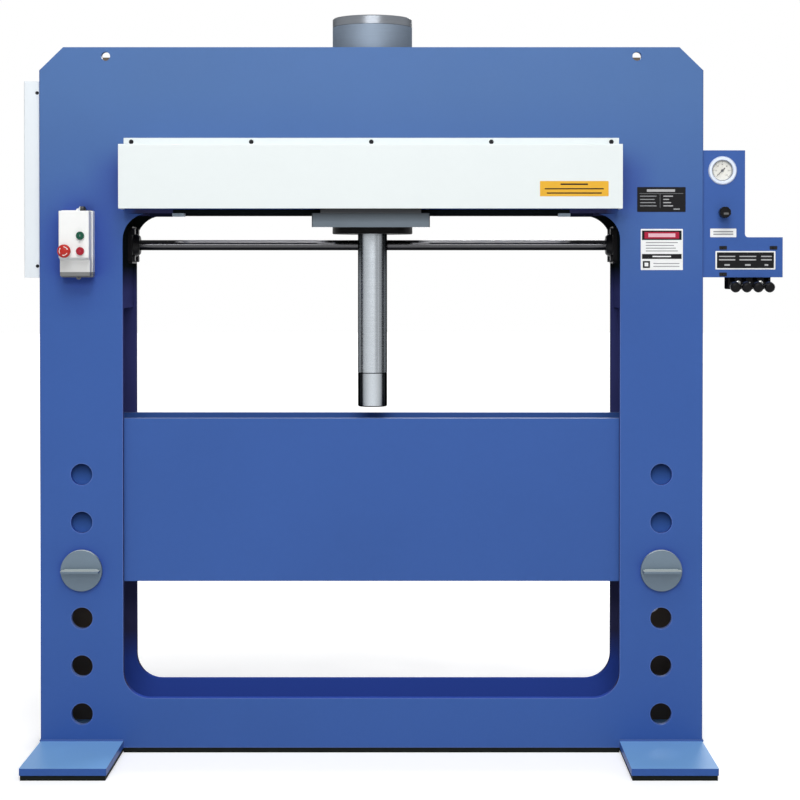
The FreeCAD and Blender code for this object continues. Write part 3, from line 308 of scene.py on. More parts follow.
# ---------- effects that finishes share
def sprayed(rub_and_highlight_gain=1.9, corner_shade_tint=(0.36, 0.42, 0.86)):
    """Sprayed paint: cloudy shade, orange peel, dull patches, rubbed edges that are partly a painted
    highlight, dust on level faces that can carry painted light, and painted shade in corners.
    """
    net, given, made = new_group("Sprayed paint", {
        "Colour": GREY, "Cloud": 0.06, "Gloss": 0.35, "Depth": 0.15, "Rub": 0.3, "Dust": 0.0,
        "Dust colour": (0.55, 0.58, 0.60, 1), "Shade": 0.0})
    mixed = net.plus(net.times(net.noise(2.3, 4), 0.75), net.times(net.noise(60, 2), 0.25))
    painted = net.shade(given["Colour"], net.sway(mixed, given["Cloud"], 4.0))
    soft, match = net.softened(1.2 * MM, 4)
    # Rubbed edges: wear, which is partly a painted highlight that lightens the edges.
    rubbed_and_highlit = net.times(net.span(match, 1.0, 0.0, 0.75, 0.99), given["Rub"])
    worn_and_highlit = net.blend(rubbed_and_highlit, painted, net.shade(given["Colour"], rub_and_highlight_gain))
    # Dust on level faces; on the feet the same mix carries a painted light.
    dust_and_light_mask = net.times(net.looking("Z", 0.8, 0.98), given["Dust"])
    dust_and_light_coloured = net.blend(dust_and_light_mask, worn_and_highlit, given["Dust colour"])
    # Painted shade in corners: ambient occlusion deepens the colour near other parts.
    near = net.add("AmbientOcclusion", {"Distance": 0.13}, samples=6).outputs["AO"]
    close = net.math("MINIMUM", net.times(net.math("SUBTRACT", 1.0, near), 2.8), 0.9)
    high = net.times(net.height(1.0, 0.0, 1.76, 1.84), net.height(0.0, 1.0, 0.3, 0.8))
    painted_corner_shade = net.vector("MULTIPLY", dust_and_light_coloured, corner_shade_tint)
    base = net.blend(net.times(close, given["Shade"], high), dust_and_light_coloured, painted_corner_shade)
    return net.surface(made, given, base, net.span(net.noise(7), -0.06, 0.06), net.noise(420, 1),
                       0.6 * MM, soft)


def inside():
    """A mask that is one inside the box of the frame's plates, from the object's own coordinates."""
    net, given, made = new_group("Inside the frame", {"Half depth": 0.13, "Half width": 0.98},
                                 {"Mask": 0.0})
    net.feed(made, {"Mask": net.times(net.math("LESS_THAN", net.reach("Y"), given["Half depth"]),
                                      net.math("LESS_THAN", net.reach("X"), given["Half width"]))})
    return net.tree


def tooled():
    """Fine lines left by a tool: noise that is stretched along the cut."""
    net, given, made = new_group("Tool marks", {
        "Colour": GREY, "Stretch": (1, 1, 1), "Contrast": 0.2, "Gloss": 0.3, "Depth": 0.1})
    lines = net.noise(1.0, 4, 0.6, net.vector("MULTIPLY", net.place(), given["Stretch"]))
    stains = net.noise(9.0, 4, 0.6)
    both = net.plus(net.times(lines, 0.6), net.times(stains, 0.4))
    base = net.shade(given["Colour"], net.sway(both, given["Contrast"], 2.0))
    return net.surface(made, given, base, net.span(lines, -0.07, 0.07), lines, 0.3 * MM)


def lathed():
    """Rings left by a lathe on a face, around a centre line."""
    net, given, made = new_group("Turning rings", {
        "Colour": GREY, "Centre": (0, 0, 0), "Across": (1, 0, 1), "Gloss": 0.3, "Depth": 0.15})
    away = net.vector("SUBTRACT", net.place(), given["Centre"])
    radius = net.vector("LENGTH", net.vector("MULTIPLY", away, given["Across"]), output="Value")
    rings = net.add("TexNoise", {"W": radius, "Scale": 900.0, "Detail": 2.0},
                    noise_dimensions="1D").outputs["Fac"]
    stains = net.noise(14.0, 4, 0.6)
    tone = net.plus(net.span(rings, 0.86, 1.06), net.span(stains, -0.10, 0.12))
    base = net.shade(given["Colour"], tone)
    return net.surface(made, given, base, net.span(stains, -0.06, 0.08), rings, 0.2 * MM)


def grained():
    """The fine grain of a moulding or casting, with a faint change of shade."""
    net, given, made = new_group("Moulded grain", {
        "Colour": GREY, "Size": 900.0, "Gloss": 0.4, "Depth": 0.1, "Contrast": 0.05})
    cloud = net.noise(25)
    base = net.shade(given["Colour"], net.sway(cloud, given["Contrast"], 4.0))
    return net.surface(made, given, base, net.span(cloud, -0.05, 0.05), net.noise(given["Size"]),
                       0.5 * MM)


# ---------- changes to single finishes
# Each takes a net, the outputs of the finish's effect and the paint settings, and gives what
# feeds the shader in their place.
def frame_change(net, coat, paint):
    """Painted shade inside the frame, under the long covers, under the beam and by the bearings, a
    painted sheen towards the top, and painted highlight and shade lines along the front edges.
    """
    hollow = net.effect(inside, {"Half depth": REAR_FACE - PLATE_SKIN,
                                 "Half width": FRAME_HIGH.x - PLATE_SKIN})["Mask"]
    # Painted sheen: the frame's colour turns a little paler and greener towards its top.
    painted_sheen = net.blend(net.height(0.0, 0.070, 1.35, 2.0), coat["Colour"], (0.42, 0.72, 0.40))
    # Painted light and shade on the inner faces: level faces and low front faces take the lit colour,
    # upright ones a painted shadow that lightens with height.
    low_front = net.times(net.looking("Y", -0.5, -0.9), net.height(1.0, 0.0, 0.22, 0.32))
    upright = net.blend(net.height(0.0, 1.0, 0.5, 1.2), paint.primer, (0.050, 0.057, 0.20))
    inside_light_and_shade = net.blend(net.most(net.looking("Z", 0.5, 0.9), low_front), upright, paint.inside)
    # Painted shadow of the long cover on the strip of frame just below it, fading out near the cover's
    # ends.
    shaded = net.times(
        net.span(net.reach("X"), 1.0, 0.0, COVER_HIGH.x - 40 * MM, COVER_HIGH.x - 8 * MM),
        net.band("Z", COVER_LOW.z - 12.5 * MM, COVER_LOW.z + 1 * MM))
    dark = net.blend(shaded, inside_light_and_shade, paint.primer)
    # The opening's sideways cut faces take painted shade as well.
    rim = net.times(net.looking("Y", -0.9, -0.5), net.band("X", -1.0, HALF_OPENING + 0.5 * MM),
                    net.band("Z", 0.14, COVER_LOW.z))
    hidden = net.most(hollow, shaded, rim)
    # Near-black painted shade under the beam and beside the bearings.
    under_beam = net.times(net.band("Z", 1.60, 1.66), net.band("X", -1.0, 0.598))
    by_bearings = net.times(net.height(0.0, 1.0, 1.39, 1.47), net.band("Z", 0.0, 1.63))
    dark = net.blend(net.most(under_beam, by_bearings), dark, (0.008, 0.011, 0.012))
    # A painted shade colour for the hollows inside the columns, which show through the pin holes.
    dark = net.blend(net.band("X", *INSIDE_COLUMN), dark, (0.184, 0.150, 0.117))
    # Painted highlight along the lower front edges, and a dark painted shade line along the columns'
    # outer edges.
    match = net.softened(5.5 * MM, 6)[1]
    edge = net.times(net.span(match, 0.9, 0.0, 0.84, 0.995), net.looking("Y", -0.9, -0.99))
    outer = net.times(edge, net.band("X", FRAME_HIGH.x - 8 * MM, 2.0))
    edge_highlit_and_shaded = net.blend(net.times(edge, net.height(1.0, 0.0, 1.30, 1.46)), painted_sheen, (0.12, 0.19, 0.50))
    edge_highlit_and_shaded = net.blend(outer, edge_highlit_and_shaded, (0.022, 0.036, 0.14))
    return {"Base Color": net.blend(hidden, edge_highlit_and_shaded, dark),
            "Specular IOR Level": net.span(hidden, 0.18, 0.0)}


def bed_change(net, coat, paint):
    """The shade that the columns' holes throw on the bed behind them."""
    inner = net.band("X", *INSIDE_COLUMN)
    from_hole = net.math("SUBTRACT", net.along("Z"), UPPER_HOLE - HOLE_RADIUS)
    share = net.math("FRACT", net.math("DIVIDE", from_hole, PIN_PITCH))
    tone = net.span(share, 1.05, 0.30, 0.06, 0.42)
    return {"Base Color": net.blend(inner, coat["Colour"], net.shade(coat["Colour"], tone)),
            "Specular IOR Level": net.span(inner, 0.18, 0.02)}


def stop_change(net, steel, paint):
    """Painted shade on the stop's outer part, where it lies under the beam, and a lighter bare end where
    the carriage runs against the stop.
    """
    # This mask marks the stop's outer part, which takes painted shade.
    painted = net.band("X", 0.600, 1.0)
    return {"Base Color": net.blend(painted, net.shade(steel["Colour"], 4.0), paint.stop),
            "Metallic": net.span(painted, 0.3, 0.0), "Specular IOR Level": net.span(painted, 0.3, 0.0)}


def carriage_change(net, steel, paint):
    """Dull where the cover shades the plate, and dark underneath."""
    low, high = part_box("carriage_plate")
    fall = net.height(1.1, 0.28, low.z + 14 * MM, high.z)
    down = net.looking("Z", -0.5, -0.9)
    return {"Base Color": net.blend(down, net.shade(steel["Colour"], fall), (0.92, 0.92, 0.93)),
            "Roughness": net.times(steel["Roughness"], net.span(down, 1.0, 0.12)),
            "Metallic": net.span(down, 0.75, 1.0)}


def ram_change(net, chrome, paint):
    """Painted reflections in the chrome: the room's sides, of which the right is darker, the ring at the
    ram's top, and dark flanks.
    """
    # Painted reflections: darker to the right with a paler line, and darker flanks, most near the top.
    across = net.along("X")
    line = net.between(across, 17.5 * MM, 20.5 * MM)
    right = net.plus(net.span(across, 0.84, 0.56, 6 * MM, 13 * MM), net.times(line, 0.13))
    ring = net.times(net.turned_away(0.0, 0.75, 0.25, 0.35), net.height(0.0, 1.0, 1.44, 1.56))
    tone = net.times(net.turned_away(1.0, 0.52, 0.05, 0.35), right, net.math("SUBTRACT", 1.0, ring))
    return {"Base Color": net.shade(chrome["Colour"], tone)}


def ram_end_change(net, chrome, paint):
    """Both flanks painted dark, as a painted reflection."""
    return {"Base Color": net.shade(chrome["Colour"], net.turned_away(1.0, 0.06, -0.03, 0.38))}


def shaft_change(net, steel, paint):
    """A painted highlight along the shaft's top, a pale line of light clear of the bearings and the ram,
    over painted shade that darkens the shaft towards its underside.
    """
    up = net.part(net.normal(), "Z")
    upper = net.span(up, 0.0, 1.0, 0.40, 0.50)
    # Painted shade: the shaft is darker towards its underside and lighter on its upper flanks.
    tone = net.times(net.span(up, 0.35, 2.1, -0.6, 0.8), net.span(upper, 1.0, 0.12))
    reach = net.reach("X")
    top = net.times(upper, net.span(reach, 1.0, 0.0, 0.57, 0.62), net.span(reach, 0.0, 1.0, 0.14, 0.19))
    return {"Base Color": net.blend(top, net.shade(steel["Colour"], tone), (0.93, 0.92, 0.95)),
            "Metallic": net.span(top, 0.9, 0.0), "Specular Tint": net.span(upper, 0.0, 0.6)}


def housing_change(net, moulded, paint):
    """Painted shade that greys the box towards its lower edge, with a dark foot and a black gland on top.
    """
    low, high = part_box("starter_lid")
    # Painted shade: darker towards the box's lower edge.
    fall = net.height(0.72, 1.0, low.z + 40 * MM, low.z + 66 * MM)
    foot = net.height(1.0, 0.0, low.z + 12.5 * MM, low.z + 13.5 * MM)
    based = net.blend(foot, net.shade(moulded["Colour"], fall), (0.16, 0.165, 0.165))
    gland = net.times(net.height(0.0, 1.0, high.z + 1 * MM, high.z + 2 * MM),
                      net.math("GREATER_THAN", net.along("X"), low.x + 54 * MM))
    return {"Base Color": net.blend(gland, based, (0.010, 0.011, 0.014))}


# ---------- finishes of this press
ENAMEL = {"Cloud": 0.05, "Gloss": 0.42, "Depth": 0.12, "Rub": 0.22}
COAT = {"Cloud": 0.015, "Gloss": 0.5, "Depth": 0.16, "Rub": 0.0}
GROUND = {"Stretch": (12, 700, 700), "Contrast": 0.3, "Gloss": 0.42, "Depth": 0.25}
CHROME = {"Stretch": (14, 14, 500), "Contrast": 0.10, "Gloss": 0.27, "Depth": 0.05}
LATHED = {"Stretch": (10, 10, 900), "Contrast": 0.35, "Gloss": 0.66, "Depth": 0.25}
CASTING = {"Size": 420.0, "Gloss": 0.38, "Depth": 0.45, "Contrast": 0.15}
FITTING = {"Size": 1500.0, "Gloss": 0.3, "Depth": 0.04}

FRAME_ENAMEL = ("Frame enamel", sprayed, "blue", {**ENAMEL, "Dust": 0.10, "Shade": 1.0},
                {"change": frame_change})
FINISHES = {
    "blue_paint": ("Blue enamel", sprayed, "blue", {**ENAMEL, "Dust": 0.12}, {"specular": 0.18}),
    "white_paint": ("White powder coat", sprayed, "white", COAT, {"specular": 0.35}),
    "grey_paint": ("Light grey powder coat", sprayed, "grey", COAT, {"specular": 0.35}),
    "dark_paint": ("Tank paint", sprayed, "dark", {"Cloud": 0.08, "Gloss": 0.45, "Depth": 0.2}, {}),
    "machined_steel": ("Ground steel", tooled, "steel", GROUND, {"metallic": 0.75}),
    "polished_steel": ("Hard chrome", tooled, "chrome", CHROME,
                       {"metallic": 1.0, "rim": 0.0, "change": ram_change}),
    "blackened_steel": ("Oiled shaft", tooled, (0.085, 0.085, 0.090),
                        {"Stretch": (500, 14, 14), "Contrast": 0.25, "Gloss": 0.16, "Depth": 0.06},
                        {"metallic": 0.9, "rim": 0.0, "change": shaft_change}),
    "black_steel": ("Blackened steel", grained, "black",
                    {"Size": 700.0, "Gloss": 0.36, "Contrast": 0.2}, {"metallic": 0.3, "specular": 0.15}),
    "cast_iron": ("Painted casting", grained, (0.009, 0.009, 0.010), CASTING, {"specular": 0.10}),
    "rubber": ("Rubber strip", grained, (0.008, 0.010, 0.009),
               {"Size": 260.0, "Gloss": 0.72, "Depth": 0.3, "Contrast": 0.2}, {"specular": 0.08}),
    "pale_plastic": ("Moulded housing", grained, "plastic",
                     {"Size": 1300.0, "Gloss": 0.38, "Depth": 0.06, "Contrast": 0.012},
                     {"change": housing_change}),
    "green_plastic": ("Green button", grained, (0.005, 0.075, 0.042), FITTING, {"specular": 0.15}),
    "red_plastic": ("Red button", grained, (0.34, 0.013, 0.027), FITTING, {"specular": 0.15}),
    "black_plastic": ("Black knob", grained, (0.006, 0.006, 0.007), FITTING, {"specular": 0.08}),
    "dial_face": ("Dial card", grained, (0.78, 0.76, 0.70),
                  {"Size": 2500.0, "Gloss": 0.6, "Depth": 0.02, "Contrast": 0.02}, {}),
    "mushroom": ("Red mushroom", grained, (0.46, 0.026, 0.019), {**FITTING, "Gloss": 0.28},
                 {"specular": 0.15}),
    "plated_screws": ("Plated screws", grained, (0.62, 0.62, 0.60), {"Gloss": 0.25, "Depth": 0.05},
                      {"metallic": 0.9}),
    "cylinder_barrel": ("Turned cylinder", tooled, "barrel", LATHED, {"metallic": 0.9, "rim": 0.3}),
    "cylinder_cap": ("Turned cap", tooled, (0.193, 0.209, 0.232),
                     {**LATHED, "Contrast": 0.3, "Gloss": 0.3, "Depth": 0.2},
                     {"metallic": 0.9, "rim": 0.3}),
    "carriage_plate": ("Carriage steel", tooled, "steel", GROUND,
                       {"metallic": 0.75, "change": carriage_change}),
    "carriage_stops": ("Carriage stop", tooled, "steel", GROUND, {"change": stop_change}),
    "roller_hangers": ("Shaded steel", tooled, (0.020, 0.023, 0.028),
                       {**GROUND, "Gloss": 0.5, "Depth": 0.1}, {}),
    "ram_end": ("Chrome end", tooled, "chrome", {**CHROME, "Gloss": 0.22},
                {"metallic": 1.0, "rim": 0.0, "change": ram_end_change}),
    "gland_ring": ("Oxidised ring", grained, (0.007, 0.007, 0.007), {"Size": 700.0, "Gloss": 0.42},
                   {"specular": 0.04}),
    "valve_block": ("Block casting", grained, (0.010, 0.010, 0.011), {**CASTING, "Gloss": 0.4},
                    {"specular": 0.0}),
    "gauge_case": ("Gauge rim", grained, (0.62, 0.68, 0.80),
                   {"Size": 300.0, "Gloss": 0.34, "Depth": 0.03, "Contrast": 0.03},
                   {"metallic": 0.3, "specular": 0.2}),
    "gauge_needle": ("Needle", grained, (0.10, 0.10, 0.105), {}, {"specular": 0.1}),
    "front_bed_plate": ("Bed enamel", sprayed, "blue", {**ENAMEL, "Dust": 0.12}, {"change": bed_change}),
    **dict.fromkeys(("front_frame_plate", "rear_frame_plate", "left_side_plate", "right_side_plate",
                     "frame_ties", "bearing_plates"), FRAME_ENAMEL),
}


def paint_settings():
    return bpy.context.scene.press_paint


def finish(name, effect, base, values=None, metallic=0.0, specular=0.5, rim=1.0, change=None):
    """A Principled material fed by one shared effect."""
    if name in bpy.data.materials:
        return bpy.data.materials[name]
    material, net, shader = new_material(name)
    made = net.effect(effect, {"Colour": base, **(values or {})})
    net.feed(shader, {"Base Color": made["Colour"], "Roughness": made["Roughness"],
                      "Normal": made["Normal"], "Metallic": metallic, "Specular IOR Level": specular,
                      "Specular Tint": (rim, rim, rim)})
    if change:
        net.feed(shader, change(net, made, paint_settings()))
    material.diffuse_color = (*base, 1)
    return material


def print_ink(name, base=None):
    return finish("Print " + name, grained, base or INKS[name],
                  {"Size": 1800.0, "Gloss": 0.45, "Depth": 0.03, "Contrast": 0.03}, specular=0.08)


def pin_steel(node):
    """Zinc-plated steel with lathe rings round the pin's own centre, painted light on its level faces and
    painted shade below its middle.
    """
    middle = middle_of(node)

    def change(net, plated, paint):
        # Painted shade below the pin's middle, and painted light on its level faces.
        fall = net.height(0.93, 1.02, middle.z - 20 * MM, middle.z + 10 * MM)
        level = net.looking("Z", 0.5, 0.9)
        base = plated["Colour"]
        for _ in range(2):  # the second pass brings out the slanting faces
            base = net.blend(level, net.shade(base, fall), (0.50, 0.54, 0.50))
        return {"Base Color": base, "Metallic": net.span(level, 0.55, 0.0)}

    return finish("Plated pin " + node, lathed, paint_settings().pin,
                  {"Centre": tuple(middle), "Gloss": 0.42, "Depth": 0.3}, change=change)


def foot_enamel(node):
    """The frame's enamel, with painted light on the level tops of the feet that makes them a lighter
    blue.
    """
    return finish("Foot enamel", sprayed, paint_settings().blue,
                  {**ENAMEL, "Dust": 0.9, "Dust colour": paint_settings().foot}, specular=0.10)


def clear_glass(slot):
    """Thin window glass that lets the lamps through to the dial."""
    if "Window glass" in bpy.data.materials:
        return bpy.data.materials["Window glass"]
    material, net, shader = new_material("Window glass")
    net.feed(shader, {"Roughness": net.span(net.noise(55, 2), 0.01, 0.05),
                      "Base Color": (0.98, 0.99, 0.99), "Transmission Weight": 1.0, "IOR": 1.3})
    ray = net.add("LightPath").outputs
    through = net.most(ray["Is Shadow Ray"], ray["Is Diffuse Ray"])
    clear = net.add("BsdfTransparent").outputs["BSDF"]
    mix = net.add("MixShader", {"Fac": through, 1: shader.outputs["BSDF"], 2: clear})
    net.feed(net.tree.nodes["Material Output"], {"Surface": mix.outputs["Shader"]})
    return material


def material_for(key):
    """The finish of a node or a material slot."""
    if key in MAKERS:
        return MAKERS[key](key)
    name, effect, base, values, rest = FINISHES[key]
    if isinstance(base, str):
        base = getattr(paint_settings(), base)
    return finish(name, effect, base, values, **rest)


MAKERS = {"left_pin": pin_steel, "right_pin": pin_steel, "feet": foot_enamel, "clear_glass": clear_glass}
INKS = {
    "white": (0.85, 0.86, 0.86),
    "black": (0.010, 0.010, 0.011),
    "yellow": (0.76, 0.42, 0.042),
    "red": (0.40, 0.020, 0.050),
    "grey": (0.30, 0.31, 0.32),
    "pale": (0.44, 0.44, 0.45),
    "pink": (0.76, 0.46, 0.52),
    "rose": (0.46, 0.10, 0.14),
}


# ---------- shaping helpers
shift = Matrix.Translation


def baked(mesh, name):
    """Mesh data from a bmesh, which is used up."""
    data = bpy.data.meshes.new(name)
    mesh.to_mesh(data)
    mesh.free()
    return data


def shown(name, data):
    """A new object in the scene."""
    piece = bpy.data.objects.new(name, data)
    bpy.context.scene.collection.objects.link(piece)
    return piece


def keep(name, mesh, materials, body, smooth=None):
    """Turns a bmesh into a finished piece at the origin that rides on a body."""
    bmesh.ops.recalc_face_normals(mesh, faces=mesh.faces[:])
    data = baked(mesh, name)
    for material in materials:
        data.materials.append(material)
    piece = shown(name, data)
    if smooth is not None:
        data.shade_smooth()
        data.set_sharp_from_angle(angle=math.radians(smooth))
    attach(piece, body)
    return piece


def move(mesh, matrix):
    bmesh.ops.transform(mesh, matrix=matrix, verts=mesh.verts[:])


def join(target, source, matrix=None, material=0):
    """Adds a bmesh, moved by a matrix, to another one."""
    if matrix is not None:
        move(source, matrix)
    for face in source.faces:
        face.material_index = material
    data = baked(source, "part")
    target.from_mesh(data)
    bpy.data.meshes.remove(data)


def rounded_card(width, height, depth, radius, segments=4):
    """A card facing -Y with round corners, standing from y = 0 to y = -depth."""
    mesh = bmesh.new()
    size = Matrix.Diagonal((width, depth, height, 1))
    bmesh.ops.create_cube(mesh, size=1.0, matrix=shift((0, -depth / 2, 0)) @ size)
    corners = [edge for edge in mesh.edges
               if abs(edge.verts[0].co.y - edge.verts[1].co.y) > depth / 2]
    bmesh.ops.bevel(mesh, geom=corners, offset=radius, offset_type="OFFSET", affect="EDGES",
                    segments=segments, profile=0.5, material=-1)
    return mesh


def turned(outline, steps=32):
    """A closed body turned about Z from (radius, height) points, the first and last on the axis."""
    mesh = bmesh.new()
    points = [mesh.verts.new((radius, 0, height)) for radius, height in outline]
    edges = [mesh.edges.new(pair) for pair in zip(points, points[1:])]
    bmesh.ops.spin(mesh, geom=points + edges, cent=(0, 0, 0), axis=(0, 0, 1), angle=math.tau,
                   steps=steps, use_merge=True, use_duplicate=False)
    bmesh.ops.remove_doubles(mesh, verts=mesh.verts[:], dist=1e-6)
    bmesh.ops.recalc_face_normals(mesh, faces=mesh.faces[:])
    return mesh


def facing(place, direction):
    """A matrix that brings Z to a direction and the origin to a place."""
    turn = Vector((0, 0, 1)).rotation_difference(Vector(direction)).to_matrix().to_4x4()
    return shift(place) @ turn


def about_y(angle):
    return Matrix.Rotation(angle, 4, "Y")


# ---------- screws
def button_head(diameter, height, shank, shank_length):
    """A button-head screw with a hexagon socket; Z points out of the work, z = 0 is the seat."""
    radius = diameter / 2
    socket = diameter * 0.22
    depth = height * 0.6
    arc = [(radius * math.cos(a), height * math.sin(a)) for a in map(math.radians, (0, 18, 36, 54))]
    outline = [(0, -shank_length), (shank / 2, -shank_length), (shank / 2, 0), *arc,
               (socket * 1.25, height), (socket * 1.12, height * 0.97), (socket * 1.12, height - depth),
               (0, height - depth)]
    mesh = turned(outline, 24)
    hexagon = bmesh.new()
    bmesh.ops.create_cone(hexagon, cap_ends=False, segments=6, radius1=socket, radius2=socket,
                          depth=depth * 0.94, matrix=shift((0, 0, height - depth / 2)))
    bmesh.ops.solidify(hexagon, geom=hexagon.faces[:], thickness=-socket * 0.1)
    join(mesh, hexagon)
    return mesh


def screws(name, box, places, head, proud, shank, shank_length):
    """Screws at (x, z) places on the front and the back of a cover."""
    low, high = box
    mesh = bmesh.new()
    for side, face in ((-1, low.y + proud), (1, high.y - proud)):
        for x, z in places:
            join(mesh, button_head(head, proud, shank, shank_length), facing((x, face, z), (0, side, 0)))
    return keep(name, mesh, [material_for("black_steel")], "frame", 40)


class PRESS_OT_cover_screws(bpy.types.Operator):
    """Black button-head screws with hexagon sockets on the long covers and the side cover"""
    bl_idname = "press.cover_screws"
    bl_label = "Cover screws"

    def execute(self, context):
        head = context.scene.press_marks.screw
        low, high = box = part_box("cover_screws")
        reach = radius_of("cover_screws") - head / 2
        places = [(-reach + 2 * reach * step / 4, (high.z + low.z) / 2) for step in range(5)]
        piece = screws("cover_screw_heads", box, places, head, 4.4 * MM, 8 * MM, 14 * MM)
        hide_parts("cover_screws")

        head *= 0.75
        low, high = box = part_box("side_cover_screws")
        places = [((low.x + high.x) / 2, z) for z in (low.z + head / 2, high.z - head / 2)]
        piece = screws("side_cover_screw_heads", box, places, head, 3.3 * MM, 6 * MM, 5 * MM)
        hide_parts("side_cover_screws")
        return {"FINISHED"}


class PRESS_OT_panel_screws(bpy.types.Operator):
    """Screws and strips over the slots of the control panel, and bright screws on the lever block"""
    bl_idname = "press.panel_screws"
    bl_label = "Panel screws"

    def execute(self, context):
        face = PANEL_LOW.y
        inset = 9 * MM
        strip = 1.2 * MM
        left, right, upper = BLOCK_LOW.x + inset, BLOCK_HIGH.x - inset, BLOCK_HIGH.z - inset
        mesh = bmesh.new()
        for x, z in ((left, PANEL_LOW.z + inset), (left, upper), (right, upper)):
            join(mesh, rounded_card(23 * MM, 11 * MM, strip, 1.5 * MM), shift((x, face, z)))
            join(mesh, button_head(8 * MM, 2.6 * MM, 4.5 * MM, 3 * MM),
                 facing((x, face - strip, z), (0, -1, 0)))
        keep("panel_fixing_screws", mesh, [material_for("black_steel")], "frame", 40)
        # Painted highlight on the knob: a thin grey card on its front stands in for the light on its
        # bevel.
        painted_highlight = rounded_card(15 * MM, 6 * MM, 0.15 * MM, 1 * MM)
        move(painted_highlight, shift(front_of("pressure_knob") + Vector((2 * MM, 0, -4 * MM))))
        keep("knob_painted_highlight", painted_highlight, [print_ink("highlight_grey", (0.13, 0.13, 0.13))], "knob")

        levers = [middle_of("lever_%d" % n).x for n in (1, 2, 3, 4)]
        mesh = bmesh.new()
        for left, right, wide in zip(levers, levers[1:], (16 * MM, 9 * MM, 16 * MM)):
            place = ((left + right) / 2, BLOCK_LOW.y, BLOCK_LOW.z + 19 * MM)
            join(mesh, button_head(wide, 5 * MM, 5 * MM, 8 * MM), facing(place, (0, -1, 0)))
        keep("lever_block_screws", mesh, [material_for("plated_screws")], "frame", 40)
        return {"FINISHED"}


# ---------- labels
def label(name, middle, size, face, fields, base="white"):
    """A stuck-on label: a thin card and plain printed fields (x0, z0, x1, z1, ink) in fractions."""
    marks = bpy.context.scene.press_marks
    width, height = size
    inks = [base] + [ink for ink in INKS if ink != base]
    mesh = bmesh.new()
    join(mesh, rounded_card(width, height, marks.film, 2 * MM), shift((middle[0], face, middle[1])))
    for layer, (x0, z0, x1, z1, ink) in enumerate(fields):
        tall = (z1 - z0) * height
        card = rounded_card((x1 - x0) * width, tall, marks.print_depth * (1 + 0.2 * layer),
                            min(0.6 * MM, tall * 0.3), 2)
        place = (middle[0] + ((x0 + x1) / 2 - 0.5) * width, face - marks.film,
                 middle[1] + ((z0 + z1) / 2 - 0.5) * height)
        join(mesh, card, shift(place), inks.index(ink))
    return keep(name, mesh, [print_ink(ink) for ink in inks], "frame")


def rows(x0, x1, top, bottom, count, thickness, ink, shorten=0.12):
    """Plain bars under one another, each a little shorter or longer than the last."""
    step = (top - bottom) / count
    bars = []
    for line in range(count):
        middle = top - step * (line + 0.5)
        end = x1 - shorten * (x1 - x0) * ((line * 2) % 3) / 2
        bars.append((x0, middle - thickness / 2, end, middle + thickness / 2, ink))
    return bars


class PRESS_OT_labels(bpy.types.Operator):
    """The five stuck-on plates with their plain fields of colour"""
    bl_idname = "press.labels"
    bl_label = "Labels"

    def execute(self, context):
        face = FRAME_LOW.y
        label("cover_label", (0.6025, 1.6995), (0.203, 0.045), COVER_LOW.y,
              [(0.30, 0.74, 0.70, 0.84, "black"), (0.07, 0.45, 0.93, 0.53, "black"),
               (0.10, 0.17, 0.90, 0.25, "black")], "yellow")
        label("rating_plate", (0.874, 1.6715), (0.146, 0.075), face,
              [(0.20, 0.81, 0.78, 0.91, "pale"), (0.05, 0.735, 0.95, 0.745, "grey"),
               *rows(0.06, 0.40, 0.70, 0.18, 4, 0.032, "grey"),
               *rows(0.54, 0.74, 0.70, 0.18, 4, 0.040, "pale", 0.4),
               (0.47, 0.17, 0.476, 0.72, "grey"), (0.75, 0.09, 0.88, 0.14, "grey")], "black")
        label("notice_plate", (0.8755, 1.521), (0.127, 0.124), face,
              [(0.03, 0.73, 0.97, 0.96, "black"), (0.09, 0.765, 0.91, 0.925, "red"),
               (0.18, 0.80, 0.82, 0.89, "pink"), *rows(0.12, 0.88, 0.70, 0.43, 4, 0.022, "grey"),
               (0.03, 0.27, 0.97, 0.39, "black"), (0.28, 0.315, 0.72, 0.345, "white"),
               (0.05, 0.05, 0.22, 0.22, "black"), (0.09, 0.09, 0.18, 0.18, "white"),
               (0.30, 0.15, 0.92, 0.17, "grey"), (0.30, 0.08, 0.92, 0.10, "grey")])
        label("knob_label", (1.0615, 1.571), (0.079, 0.026), PANEL_LOW.y,
              [(0.12, 0.56, 0.88, 0.72, "grey"), (0.12, 0.27, 0.88, 0.43, "grey")])
        fields = [(0.025, 0.07, 0.975, 0.93, "black")]
        for x0, x1 in ((0.06, 0.33), (0.40, 0.68), (0.76, 0.94)):
            fields.append((x0, 0.68, x1, 0.74, "pale"))
            fields.append((x0, 0.49, x1, 0.56, "pale"))
            fields.append(((x0 * 2 + x1) / 3, 0.20, (x0 + x1 * 2) / 3, 0.29, "pale"))
        label("lever_label", (1.1285, 1.4885), (0.181, 0.0555), PANEL_LOW.y, fields)
        return {"FINISHED"}


# ---------- gauge
SCALE_START = -135
SCALE_SWEEP = 270
SCALE_PRINT = 0.08 * MM


def on_dial(share, radius):
    """A place on the dial, by its share of the scale's sweep and its distance from the middle."""
    turn = about_y(math.radians(SCALE_START + SCALE_SWEEP * share))
    return shift(front_of("gauge_dial")) @ turn @ shift((0, 0, radius))


def figure(text):
    """A printed number as a bmesh, lying on the ground."""
    curve = bpy.data.curves.new("number", "FONT")
    curve.body = text
    curve.size = 6.0 * MM
    curve.extrude = SCALE_PRINT / 2
    curve.align_x = curve.align_y = "CENTER"
    holder = bpy.data.objects.new("number", curve)
    data = bpy.data.meshes.new_from_object(holder)
    mesh = bmesh.new()
    mesh.from_mesh(data)
    bpy.data.objects.remove(holder)
    bpy.data.curves.remove(curve)
    bpy.data.meshes.remove(data)
    return mesh


